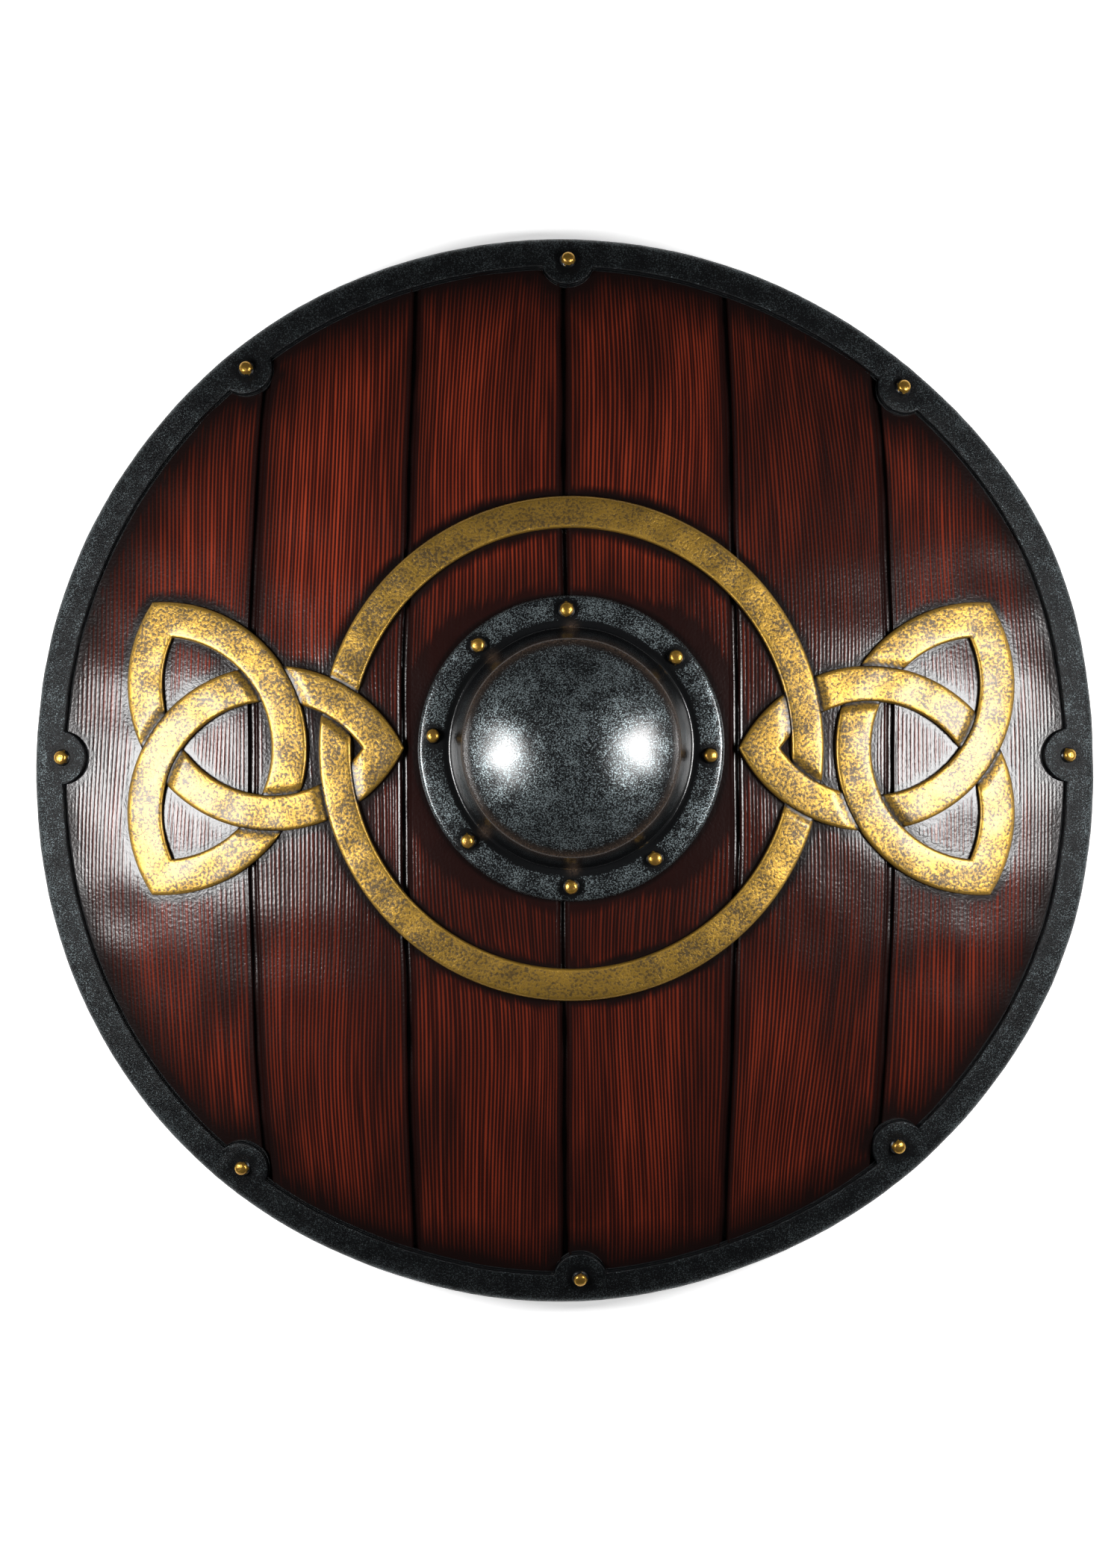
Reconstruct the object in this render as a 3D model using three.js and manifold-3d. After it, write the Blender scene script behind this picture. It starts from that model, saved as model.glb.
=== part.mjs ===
// A round centre-grip shield for live role play: a dished foam board carved as six planks, a rim
// with eight studded lobes, a hollow boss over the hand hole, a knotwork emblem and a grip bar.
// It lies on the back edge of its rim, face up: millimetres, +Z up, +Y towards the top of the face.
import * as THREE from "three";
import { mergeVertices } from "three/addons/utils/BufferGeometryUtils.js";
import Module from "manifold-3d";

const wasm = await Module();
wasm.setup();

// ---- Driving dimensions ----
const SHIELD_R = 300; // mean outer radius of the rim
const DISH_DEPTH = 60; // rise of the face from its edge to its middle
const EDGE_HEIGHT = 17.5; // height of the face above the floor at the outer radius
const BOARD_THICKNESS = 14;
const GLUE_GAP = 0.4; // air left between pieces that touch
// The outline is cut by hand: each wave is [crests round the edge, share of the radius, phase].
const OUTLINE_WAVES = [
  [2, 0.0015, 90],
  [3, 0.0034, -2.5],
  [4, 0.0026, 159],
  [5, 0.0008, 168],
  [6, 0.002, 178],
  [7, 0.0011, 158],
  [8, 0.0009, 218],
  [9, 0.0007, 246],
  [10, 0.0007, 198],
];

const SEAMS_X = [-174, -88, 0, 95, 182]; // seams between planks, at the middle of the face
const SEAM_BOW = 0.078; // share by which a seam leans in at the edge, from the bending of the board
const SEAM_HALF_WIDTH = 2.6;
const SEAM_FLOOR_HALF_WIDTH = 1;
const SEAM_DEPTH = 2.8;

const RIM_WIDTH = 17; // of the band on the face
const RIM_LIP = 3.6; // of the band over the face
const RIM_WALL = 4.2;
const RIM_FOOT_WIDTH = 12; // of the back band that lies on the floor
const LOBE_R = 15.1;
const LOBE_SHIFT = 1.3; // of a lobe's centre, outward from its stud
// Set by hand: the direction of each stud from the middle, in degrees, and its distance.
const RIM_STUDS = [
  [1.7, 283.6],
  [48.4, 287.4],
  [89.6, 286.8],
  [128.4, 287.8],
  [178.6, 282.5],
  [231, 287.8],
  [271.8, 285.8],
  [311.6, 282.7],
];

const BOSS_CENTRE = [4, 12];
const BOSS_R = 84.5; // outside of the flange
const BOSS_FLANGE = 3.2; // thickness of the flange
const DOME_FOOT_R = 67;
const DOME_SHOULDER_R = 59.5;
const DOME_SHOULDER = 17.5; // height of the shoulder over the face
const DOME_RISE = 21; // of the cap over its shoulder
const DOME_WALL = 6.5;
const HAND_HOLE_R = 57;
const BOSS_STUD_CIRCLE_R = 76.8;
const BOSS_STUD_ANGLES = [-3, 41, 92, 132, 175, 222, 270, 307];

const STUD_SKIRT_R = 4.9;
const STUD_CAP_R = 3.85;
const STUD_HEIGHT = 5.6;

const EMBLEM_RELIEF = 3.6;
const EMBLEM_RING_R = 131; // centre line of the ring round the boss
const EMBLEM_RING_WIDTH = 18;
const TREFOIL_SHIFT = 187; // from the boss's centre to each trefoil's
const TREFOIL_R = 72; // radius of a trefoil's arcs
const TREFOIL_WIDTH = 20;
const CROSSING_GAP = 2.4; // width of the cut beside the strap that runs over
const CROSSING_DEPTH = 1.8;

const GRIP_LENGTH = 204;
const GRIP_WIDTH = 28;
const GRIP_HEIGHT = 24;
const GRIP_PAD_LENGTH = 38; // of each flat end, under the board
const GRIP_PAD_WIDTH = 40;
const GRIP_PAD_HEIGHT = 13;

const GOLD = { color: 0xb48a3c, roughness: 0.5, metalness: 0.6 };
const IRON = { color: 0x2b3034, roughness: 0.45, metalness: 0.35 };
const WOOD = { color: 0x5a1c12, roughness: 0.32, metalness: 0 };
const GRIP = { color: 0x1a1817, roughness: 0.6, metalness: 0 };

const shield = new THREE.Group();

// ---- The dished face ----
const radians = THREE.MathUtils.degToRad;

function faceHeight(x, y) {
  return EDGE_HEIGHT + DISH_DEPTH * (1 - (x * x + y * y) / (SHIELD_R * SHIELD_R));
}

function faceNormal(x, y) {
  const slope = (2 * DISH_DEPTH) / (SHIELD_R * SHIELD_R);
  return new THREE.Vector3(slope * x, slope * y, 1).normalize();
}

function outlineRadius(angle) {
  const waveAt = ([crests, share, phase]) => share * Math.cos(crests * angle - radians(phase));
  return SHIELD_R * OUTLINE_WAVES.reduce((sum, wave) => sum + waveAt(wave), 1);
}

// A point at a radius and angle round a centre, at a height over the face.
function overFace(radius, angle, height, centre = [0, 0]) {
  const x = centre[0] + radius * Math.cos(angle);
  const y = centre[1] + radius * Math.sin(angle);
  return new THREE.Vector3(x, y, faceHeight(x, y) + height);
}

function evenAngles(count) {
  return Array.from({ length: count }, (_, i) => (2 * Math.PI * i) / count);
}

// ---- Mesh helpers ----
function geometryFrom(points, triangles) {
  const geometry = new THREE.BufferGeometry().setFromPoints(points);
  geometry.setIndex(triangles);
  return geometry;
}

// A ring whose section changes as it goes round: sectionAt gives a closed loop of points,
// in order from the inner foot up, outwards and back underneath.
function sweptRing(angles, sectionAt) {
  const sections = angles.map(sectionAt);
  const count = sections[0].length;
  const triangles = [];
  for (let i = 0; i < sections.length; i++) {
    const next = ((i + 1) % sections.length) * count;
    for (let j = 0; j < count; j++) {
      const k = (j + 1) % count;
      triangles.push(i * count + j, i * count + k, next + k, i * count + j, next + k, next + j);
    }
  }
  return geometryFrom(sections.flat(), triangles);
}

// A bar through a row of loops that all run anticlockwise seen against the direction of travel.
function loftedBar(loops) {
  const count = loops[0].length;
  const last = (loops.length - 1) * count;
  const triangles = [];
  for (let i = 0; i < loops.length - 1; i++) {
    for (let j = 0; j < count; j++) {
      const k = (j + 1) % count;
      const a = i * count;
      triangles.push(a + j, a + k, a + count + k, a + j, a + count + k, a + count + j);
    }
  }
  for (let j = 1; j < count - 1; j++) {
    triangles.push(0, j + 1, j);
    triangles.push(last, last + j, last + j + 1);
  }
  return geometryFrom(loops.flat(), triangles);
}

function solidFrom(geometry) {
  const bare = geometry.clone();
  bare.deleteAttribute("normal");
  bare.deleteAttribute("uv");
  const merged = mergeVertices(bare, 1e-4);
  return new wasm.Manifold(new wasm.Mesh({
    numProp: 3,
    vertProperties: merged.attributes.position.array,
    triVerts: new Uint32Array(merged.index.array),
  }));
}

function geometryOf(solid) {
  const mesh = solid.getMesh();
  const geometry = new THREE.BufferGeometry();
  geometry.setAttribute("position", new THREE.BufferAttribute(mesh.vertProperties, 3));
  geometry.setIndex(new THREE.BufferAttribute(mesh.triVerts, 1));
  return geometry;
}

function addPiece(name, geometry, finish) {
  const mesh = new THREE.Mesh(geometry, new THREE.MeshStandardMaterial(finish));
  mesh.name = name;
  shield.add(mesh);
  return mesh;
}

// ---- Board: a dished sheet with a hand hole, cut by the seams between its planks ----
const BOARD_INSET = 5.2; // from the outline to the board's edge, inside the rim
const BOARD_ANGLES = evenAngles(36);
const FACE_RINGS = [0, 0.15, 0.3, 0.45, 0.6, 0.75, 0.88, 1]; // from the hand hole to the edge
const BACK_RINGS = [1, 0.78, 0.54, 0.27, 0];

// The board's grid runs from circles round the hand hole to the outline.
function boardPoint(ring, angle, height) {
  const radius = THREE.MathUtils.lerp(HAND_HOLE_R, outlineRadius(angle) - BOARD_INSET, ring);
  const centre = BOSS_CENTRE.map((offset) => offset * (1 - ring));
  return overFace(radius, angle, height, centre);
}

function seamX(x, y) {
  return x * (1 - SEAM_BOW * (y / SHIELD_R) ** 2);
}

function seamCutter(x) {
  const above = 3;
  const flare = (SEAM_HALF_WIDTH - SEAM_FLOOR_HALF_WIDTH) / SEAM_DEPTH;
  const top = SEAM_HALF_WIDTH + above * flare;
  const floor = SEAM_FLOOR_HALF_WIDTH;
  const loops = [];
  for (let y = -SHIELD_R; y <= SHIELD_R; y += SHIELD_R / 10) {
    const middle = seamX(x, y);
    const face = faceHeight(middle, y);
    loops.push([
      new THREE.Vector3(middle - floor, y, face - SEAM_DEPTH),
      new THREE.Vector3(middle - top, y, face + above),
      new THREE.Vector3(middle + top, y, face + above),
      new THREE.Vector3(middle + floor, y, face - SEAM_DEPTH),
    ]);
  }
  return solidFrom(loftedBar(loops));
}

function makeBoard() {
  const blank = sweptRing(BOARD_ANGLES, (angle) => [
    ...FACE_RINGS.map((ring) => boardPoint(ring, angle, 0)),
    ...BACK_RINGS.map((ring) => boardPoint(ring, angle, -BOARD_THICKNESS)),
  ]);
  const carved = SEAMS_X.reduce((board, x) => board.subtract(seamCutter(x)), solidFrom(blank));
  addPiece("board", geometryOf(carved), WOOD);
}

// ---- Rim: a band round the edge, lobed round its studs, with a wall and a flat foot ----
const LOBE_SAMPLES = [-1, -0.94, -0.75, -0.3, 0.3, 0.75, 0.94, 1];
const PLAIN_STEPS = 6; // between one lobe and the next

// Half the angle that a lobe takes out of the band's inner edge.
function lobeHalfAngle(inner, distance) {
  const centre = distance + LOBE_SHIFT;
  const cosine = (inner ** 2 + centre ** 2 - LOBE_R ** 2) / (2 * inner * centre);
  return Math.acos(cosine);
}

function rimAngles() {
  const angles = [];
  const halfAngle = ([degrees, distance]) => {
    return lobeHalfAngle(outlineRadius(radians(degrees)) - RIM_WIDTH, distance);
  };
  RIM_STUDS.forEach((place, i) => {
    const following = RIM_STUDS[(i + 1) % RIM_STUDS.length];
    const stud = radians(place[0]);
    const half = halfAngle(place);
    LOBE_SAMPLES.forEach((share) => angles.push(stud + share * half));
    const turn = (radians(following[0]) - stud + 2 * Math.PI) % (2 * Math.PI);
    const span = turn - half - halfAngle(following);
    for (let k = 1; k < PLAIN_STEPS; k++) angles.push(stud + half + (span * k) / PLAIN_STEPS);
  });
  return angles;
}

// The band's inner edge: its own width in from the outline, or the round of a lobe.
function rimInnerRadius(angle) {
  const plain = outlineRadius(angle) - RIM_WIDTH;
  const lobes = RIM_STUDS.map(([degrees, distance]) => {
    const turn = angle - radians(degrees);
    const centre = distance + LOBE_SHIFT;
    const across = centre * Math.sin(turn);
    const inFront = Math.cos(turn) > 0 && Math.abs(across) < LOBE_R;
    return inFront ? centre * Math.cos(turn) - Math.sqrt(LOBE_R ** 2 - across ** 2) : plain;
  });
  return Math.min(plain, ...lobes);
}

function rimSection(angle) {
  const outer = outlineRadius(angle);
  const inner = rimInnerRadius(angle);
  const backGap = 1;
  const floorPoint = (radius, z) => new THREE.Vector3(radius * Math.cos(angle), radius * Math.sin(angle), z);
  return [
    overFace(inner, angle, GLUE_GAP),
    overFace(inner + 0.4, angle, RIM_LIP - 1),
    overFace(inner + 1.4, angle, RIM_LIP),
    overFace(outer - 2, angle, RIM_LIP - 0.3),
    overFace(outer, angle, RIM_LIP - 2.2),
    floorPoint(outer, 1.4),
    floorPoint(outer - 1.2, 0),
    floorPoint(outer - RIM_FOOT_WIDTH, 0),
    overFace(outer - RIM_FOOT_WIDTH, angle, -BOARD_THICKNESS - backGap),
    overFace(outer - RIM_WALL, angle, -BOARD_THICKNESS - backGap),
    overFace(outer - RIM_WALL, angle, GLUE_GAP),
  ];
}

function makeRim() {
  addPiece("rim", sweptRing(rimAngles(), rimSection), IRON);
}

// ---- Studs: small pegs with a rounded cap, square to the face ----
const STUD_SIDES = 8;
const STUD_PROFILE = [
  [0, 0],
  [STUD_SKIRT_R, 0],
  [STUD_SKIRT_R - 0.3, 1.3],
  [STUD_CAP_R, 2.2],
  [STUD_CAP_R - 0.35, STUD_HEIGHT - 1.3],
  [0, STUD_HEIGHT],
].map(([radius, height]) => new THREE.Vector2(radius, height));

function addStud(name, radius, degrees, height, centre) {
  const geometry = new THREE.LatheGeometry(STUD_PROFILE, STUD_SIDES).rotateX(Math.PI / 2);
  const stud = addPiece(name, geometry, GOLD);
  const foot = overFace(radius, radians(degrees), height, centre);
  const normal = faceNormal(foot.x, foot.y);
  stud.position.copy(foot).addScaledVector(normal, GLUE_GAP);
  stud.quaternion.setFromUnitVectors(new THREE.Vector3(0, 0, 1), normal);
}

function makeStuds() {
  RIM_STUDS.forEach(([degrees, distance], i) => {
    addStud(`rim_stud_${i + 1}`, distance, degrees, RIM_LIP);
  });
  BOSS_STUD_ANGLES.forEach((degrees, i) => {
    addStud(`boss_stud_${i + 1}`, BOSS_STUD_CIRCLE_R, degrees, GLUE_GAP + BOSS_FLANGE, BOSS_CENTRE);
  });
}

// ---- Boss: a flange that follows the face, a slanting wall and a low cap, hollow for the hand ----
const BOSS_SIDES = 32;

// Heights of a cap of a sphere at shares of its radius, from its rim in to its pole.
function capProfile(radius, foot, rise, shares) {
  const sphere = (radius ** 2 + rise ** 2) / (2 * rise);
  return shares.map((share) => {
    const r = radius * share;
    return [r, foot + rise - sphere + Math.sqrt(sphere ** 2 - r ** 2)];
  });
}

function makeBoss() {
  const top = GLUE_GAP + BOSS_FLANGE;
  const inside = capProfile(DOME_SHOULDER_R - DOME_WALL, DOME_SHOULDER - 3, DOME_RISE - 3, [0, 0.35, 0.7, 1]);
  const outside = capProfile(DOME_SHOULDER_R, DOME_SHOULDER, DOME_RISE, [1, 0.84, 0.66, 0.44, 0.22, 0]);
  const profile = [
    ...inside,
    [HAND_HOLE_R, GLUE_GAP],
    [BOSS_R, GLUE_GAP],
    [BOSS_R, top - 1],
    [BOSS_R - 1.2, top],
    [DOME_FOOT_R + 1.5, top],
    [DOME_FOOT_R - 1, top + 1.8],
    [DOME_SHOULDER_R + 2.4, DOME_SHOULDER - 3.4],
    ...outside,
  ].map(([radius, height]) => new THREE.Vector2(radius, height));
  const geometry = new THREE.LatheGeometry(profile, BOSS_SIDES);
  geometry.rotateX(Math.PI / 2).translate(BOSS_CENTRE[0], BOSS_CENTRE[1], 0);
  const points = geometry.attributes.position;
  for (let i = 0; i < points.count; i++) {
    points.setZ(i, points.getZ(i) + faceHeight(points.getX(i), points.getY(i)));
  }
  addPiece("boss", geometry, IRON);
}

// ---- Emblem: a ring round the boss, woven through a trefoil on either side ----
// Every strap follows a circle or an arc: { centre, radius, width }, and on a trefoil the direction
// of its centre from the middle and the arcs that it meets at its tips.
function ringArc() {
  return { centre: BOSS_CENTRE, radius: EMBLEM_RING_R, width: EMBLEM_RING_WIDTH, meets: [] };
}

// Three half circles, each from one tip to the next through the far side of the middle.
function trefoilArcs(side) {
  const middle = [BOSS_CENTRE[0] + side * TREFOIL_SHIFT, BOSS_CENTRE[1]];
  const offset = TREFOIL_R / Math.sqrt(3);
  const inward = side > 0 ? 180 : 0;
  const arcs = [60, 180, 300].map((turn) => {
    const direction = radians(inward + turn);
    const centre = [middle[0] + offset * Math.cos(direction), middle[1] + offset * Math.sin(direction)];
    return { centre, direction, radius: TREFOIL_R, width: TREFOIL_WIDTH };
  });
  arcs.forEach((arc) => {
    arc.meets = arcs.filter((other) => other !== arc);
  });
  return arcs;
}

const RING_SIDES = 44;
const TREFOIL_SIDES = 28;
const PRISM_FOOT = 30;
const PRISM_HEIGHT = 60;

function discSolid(centre, radius, sides) {
  const outline = evenAngles(sides).map((angle) => {
    return new THREE.Vector2(centre[0] + radius * Math.cos(angle), centre[1] + radius * Math.sin(angle));
  });
  const settings = { depth: PRISM_HEIGHT, bevelEnabled: false };
  const prism = new THREE.ExtrudeGeometry(new THREE.Shape(outline), settings);
  return solidFrom(prism.translate(0, 0, PRISM_FOOT));
}

// The strap along one arc, cut off by the outer edges of the arcs it meets, so that tips are mitred.
function strapSolid(arc, sides) {
  const outerDisc = ({ centre, radius, width }) => discSolid(centre, radius + width / 2, sides);
  const band = outerDisc(arc).subtract(discSolid(arc.centre, arc.radius - arc.width / 2, sides));
  if (!arc.meets.length) return band;
  const [first, second] = arc.meets.map(outerDisc);
  return band.intersect(first.add(second));
}

// Is a point on the arc itself, and not on the rest of its circle?
function onArc(arc, point) {
  if (!arc.meets.length) return true;
  const away = [point[0] - arc.centre[0], point[1] - arc.centre[1]];
  return away[0] * Math.cos(arc.direction) + away[1] * Math.sin(arc.direction) < -1;
}

// The one point where two arcs cross each other's middle lines.
function crossingOf(a, b) {
  const dx = b.centre[0] - a.centre[0];
  const dy = b.centre[1] - a.centre[1];
  const distance = Math.hypot(dx, dy);
  const along = (distance ** 2 + a.radius ** 2 - b.radius ** 2) / (2 * distance);
  const aside = Math.sqrt(a.radius ** 2 - along ** 2);
  const points = [-1, 1].map((side) => [
    a.centre[0] + (along * dx - side * aside * dy) / distance,
    a.centre[1] + (along * dy + side * aside * dx) / distance,
  ]);
  return points.find((point) => onArc(a, point) && onArc(b, point));
}

// The crossings of one trefoil, with itself and with the ring. Along every strap, over and under
// take turns.
function crossingsOf(ring, [first, second, third]) {
  const pairs = [[first, second], [second, third], [third, first], [ring, first], [third, ring]];
  return pairs.map(([over, under]) => ({ over, under, point: crossingOf(over, under) }));
}

// Two short cuts into the strap that runs under, one along each edge of the strap that runs over.
function crossingCuts({ over, under, point }) {
  const radial = Math.atan2(point[1] - over.centre[1], point[0] - over.centre[0]);
  const slant = Math.atan2(point[1] - under.centre[1], point[0] - under.centre[0]) - radial;
  const length = under.width / Math.abs(Math.sin(slant)) + CROSSING_GAP;
  return [-1, 1].map((side) => {
    const radius = over.radius + side * (over.width / 2 + CROSSING_GAP / 2);
    const lean = Math.atan((side * (over.width + CROSSING_GAP)) / 2 / (over.radius * Math.tan(slant)));
    const angle = radial + lean;
    const x = over.centre[0] + radius * Math.cos(angle);
    const y = over.centre[1] + radius * Math.sin(angle);
    const floor = faceHeight(x, y) + GLUE_GAP + EMBLEM_RELIEF - CROSSING_DEPTH;
    const cut = new THREE.BoxGeometry(CROSSING_GAP, length, 10).rotateZ(angle).translate(x, y, floor + 5);
    return solidFrom(cut);
  });
}

function makeEmblem() {
  const layer = sweptRing(BOARD_ANGLES, (angle) => [
    ...FACE_RINGS.slice(1).map((ring) => boardPoint(ring, angle, GLUE_GAP + EMBLEM_RELIEF)),
    ...FACE_RINGS.slice(1).reverse().map((ring) => boardPoint(ring, angle, GLUE_GAP)),
  ]);
  const ring = ringArc();
  const trefoils = [trefoilArcs(1), trefoilArcs(-1)];
  const straps = trefoils.flat().map((arc) => strapSolid(arc, TREFOIL_SIDES));
  const outline = straps.reduce((all, strap) => all.add(strap), strapSolid(ring, RING_SIDES));
  const cuts = trefoils.flatMap((arcs) => crossingsOf(ring, arcs)).flatMap(crossingCuts);
  const emblem = cuts.reduce((solid, cut) => solid.subtract(cut), solidFrom(layer).intersect(outline));
  addPiece("emblem", geometryOf(emblem), GOLD);
}

// ---- Grip: a rounded bar across the hand hole, flattened where it is glued under the board ----
const GRIP_SIDES = 12;
const GRIP_STATIONS = [-1, -0.97, -0.78, -0.62, -0.5, -0.25, 0, 0.25, 0.5, 0.62, 0.78, 0.97, 1];

function makeGrip() {
  const underBoard = -BOARD_THICKNESS - 1; // heights over the face: the board's underside, with its gap
  const padEnd = 1 - (2 * GRIP_PAD_LENGTH) / GRIP_LENGTH;
  const loops = GRIP_STATIONS.map((share) => {
    const x = BOSS_CENTRE[0] + (share * GRIP_LENGTH) / 2;
    const pad = THREE.MathUtils.smoothstep(Math.abs(share), padEnd - 0.12, padEnd + 0.06);
    const end = Math.abs(share) === 1 ? 0.86 : 1;
    const width = THREE.MathUtils.lerp(GRIP_WIDTH, GRIP_PAD_WIDTH, pad) * end;
    const height = THREE.MathUtils.lerp(GRIP_HEIGHT, GRIP_PAD_HEIGHT, pad) * end;
    // The bar clears the lower of its two ends and the lower of its two edges.
    const away = BOSS_CENTRE[0] + Math.abs(x - BOSS_CENTRE[0]);
    const top = faceHeight(away, BOSS_CENTRE[1] + GRIP_PAD_WIDTH / 2);
    const squareness = THREE.MathUtils.lerp(1, 0.55, pad);
    return evenAngles(GRIP_SIDES).map((angle) => {
      const across = Math.sign(Math.cos(angle)) * Math.abs(Math.cos(angle)) ** squareness;
      const up = Math.sign(Math.sin(angle)) * Math.abs(Math.sin(angle)) ** squareness;
      const z = top + underBoard + (height / 2) * (up - 1);
      return new THREE.Vector3(x, BOSS_CENTRE[1] + (width / 2) * across, z);
    });
  });
  addPiece("grip", loftedBar(loops), GRIP);
}

makeBoard();
makeRim();
makeBoss();
makeEmblem();
makeStuds();
makeGrip();

// The origin is on the floor, under the middle of the rim's box.
const extent = new THREE.Box3().setFromObject(shield);
const middle = extent.getCenter(new THREE.Vector3());
shield.position.set(-middle.x, -middle.y, -extent.min.z);

export default shield;
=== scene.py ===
"""A round foam shield with a latex skin: grained planks, a speckled iron-look rim and boss, gold
knotwork, gold studs and a grip bar. Lengths in the meshes are worked out in millimetres round the
middle of the dish and placed in the frame's metres at the end."""

import math
from collections import namedtuple

import bmesh
import bpy
import numpy as np
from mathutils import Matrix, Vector


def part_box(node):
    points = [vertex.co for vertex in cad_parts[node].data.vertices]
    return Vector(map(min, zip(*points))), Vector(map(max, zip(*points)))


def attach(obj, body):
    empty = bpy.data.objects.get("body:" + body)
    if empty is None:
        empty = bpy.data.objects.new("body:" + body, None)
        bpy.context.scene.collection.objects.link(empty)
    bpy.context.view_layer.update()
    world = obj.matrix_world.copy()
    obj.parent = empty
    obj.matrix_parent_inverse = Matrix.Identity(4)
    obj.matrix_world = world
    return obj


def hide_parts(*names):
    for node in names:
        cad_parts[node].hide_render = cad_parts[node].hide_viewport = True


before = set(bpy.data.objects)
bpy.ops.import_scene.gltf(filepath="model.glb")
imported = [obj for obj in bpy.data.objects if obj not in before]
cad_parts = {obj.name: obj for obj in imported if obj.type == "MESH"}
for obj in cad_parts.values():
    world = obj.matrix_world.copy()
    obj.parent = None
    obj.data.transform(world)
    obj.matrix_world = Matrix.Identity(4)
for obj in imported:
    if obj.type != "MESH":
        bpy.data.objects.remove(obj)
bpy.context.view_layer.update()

bl_info = {
    "name": "Round foam shield",
    "version": (1, 0, 0),
    "blender": (4, 5, 0),
    "location": "3D View > Sidebar > Shield",
    "description": "Builds a round foam shield with painted planks, rim, boss, knotwork and studs",
    "category": "Add Mesh",
}

MM = 0.001
RIM_STUDS = [f"rim_stud_{i}" for i in range(1, 9)]
BOSS_STUDS = [f"boss_stud_{i}" for i in range(1, 9)]
STUD_LEAN = 0.0036  # share of a stud's distance from the middle by which its middle leans past its foot
GLUE_GAP = 0.4  # between pieces that touch, in millimetres


# ---- Places read from the frame, in millimetres ----
def box_mm(node):
    low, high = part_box(node)
    return np.array(low) / MM, np.array(high) / MM


def box_middle(node):
    low, high = box_mm(node)
    return (low + high) / 2


def stud_feet(nodes):
    """The studs' feet round the middle of the dish; each stud leans out with the face."""
    middles = np.array([box_middle(node)[:2] - DISH_MIDDLE for node in nodes])
    return middles * (1 - STUD_LEAN)


BOSS_OFFSET = np.array([4.0, 12.0])  # of the boss from the middle of the dish
DISH_MIDDLE = box_middle("boss")[:2] - BOSS_OFFSET
BOSS_R = (box_mm("boss")[1] - box_mm("boss")[0])[0] / 2
RIM_STUD_XY = stud_feet(RIM_STUDS)
BOSS_STUD_XY = stud_feet(BOSS_STUDS)
SHIELD_R = 300.0  # mean radius of the outline
SEAMS_X = [-174.0, -88.0, 0.0, 95.0, 182.0]  # of the seams, at the middle of their length
SEAM_BOW = 0.078  # share by which a seam leans in at the edge
BOARD_INSET = 5.2  # from the outline to the board's edge
# The outline is cut by hand: each wave is (crests round the edge, share of the radius, phase).
OUTLINE_WAVES = [
    (2, 0.0015, 90),
    (3, 0.0034, -2.5),
    (4, 0.0026, 159),
    (5, 0.0008, 168),
    (6, 0.0020, 178),
    (7, 0.0011, 158),
    (8, 0.0009, 218),
    (9, 0.0007, 246),
    (10, 0.0007, 198),
]


# ---- Sizes and colours a user may change ----
def length(name, description, default, low=0.0, high=1.0):
    return bpy.props.FloatProperty(
        name=name, description=description, default=default, min=low, max=high, unit="LENGTH", precision=4
    )


def colour(name, description, default):
    return bpy.props.FloatVectorProperty(
        name=name, description=description, default=default, size=3, min=0.0, max=1.0, subtype="COLOR"
    )


class ShieldSizes(bpy.types.PropertyGroup):
    """Sizes of the shield's pieces"""

    dish_depth: length("Dish depth", "Rise of the face from its edge to its middle", 0.060)
    edge_height: length("Edge height", "Height of the face over the floor at the outer radius", 0.0175)
    board_thickness: length("Board thickness", "Thickness of the foam board", 0.014)
    seam_width: length("Seam width", "Width of a seam between planks", 0.0050)
    seam_depth: length("Seam depth", "Depth of a seam between planks", 0.0028)
    grain_pitch: length("Grain pitch", "Mean distance between two grain lines", 0.0023)
    grain_depth: length("Grain depth", "Depth of the brushed grain", 0.00010)
    rim_width: length("Rim width", "Width of the rim's band on the face", 0.017)
    rim_lip: length("Rim lip", "Height of the rim's band over the face", 0.0036)
    lobe_radius: length("Lobe radius", "Radius of the rim's lobes round their studs", 0.0151)
    lobe_shift: length("Lobe shift", "From a stud out to its lobe's centre", 0.0013)
    hand_hole: length("Hand hole", "Radius of the hole behind the boss", 0.057)
    flange: length("Boss flange", "Thickness of the boss's flange", 0.0032)
    dome_foot: length("Dome foot", "Radius of the boss's dome at its foot", 0.0669)
    dome_shoulder: length("Dome shoulder", "Radius of the dome's shoulder", 0.0595)
    shoulder_height: length("Shoulder height", "Height of the dome's shoulder over the face", 0.0175)
    dome_rise: length("Dome rise", "Rise of the cap over its shoulder", 0.021)
    dome_wall: length("Dome wall", "Thickness of the boss's dome", 0.0065)
    relief: length("Knotwork relief", "Height of the knotwork over the face", 0.0036)
    ring_radius: length("Ring radius", "Radius of the knotwork ring's middle line", 0.131)
    ring_width: length("Ring width", "Width of the knotwork ring", 0.018)
    trefoil_shift: length("Trefoil shift", "From the boss's middle to a trefoil's", 0.187)
    trefoil_radius: length("Trefoil radius", "Radius of a trefoil's arcs", 0.072)
    trefoil_width: length("Trefoil width", "Width of a trefoil's strap", 0.020)
    stud_skirt: length("Stud skirt", "Radius of a stud at its foot", 0.0049)
    stud_cap: length("Stud cap", "Radius of a stud's cap", 0.00385)
    stud_height: length("Stud height", "Height of a stud", 0.0056)


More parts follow.
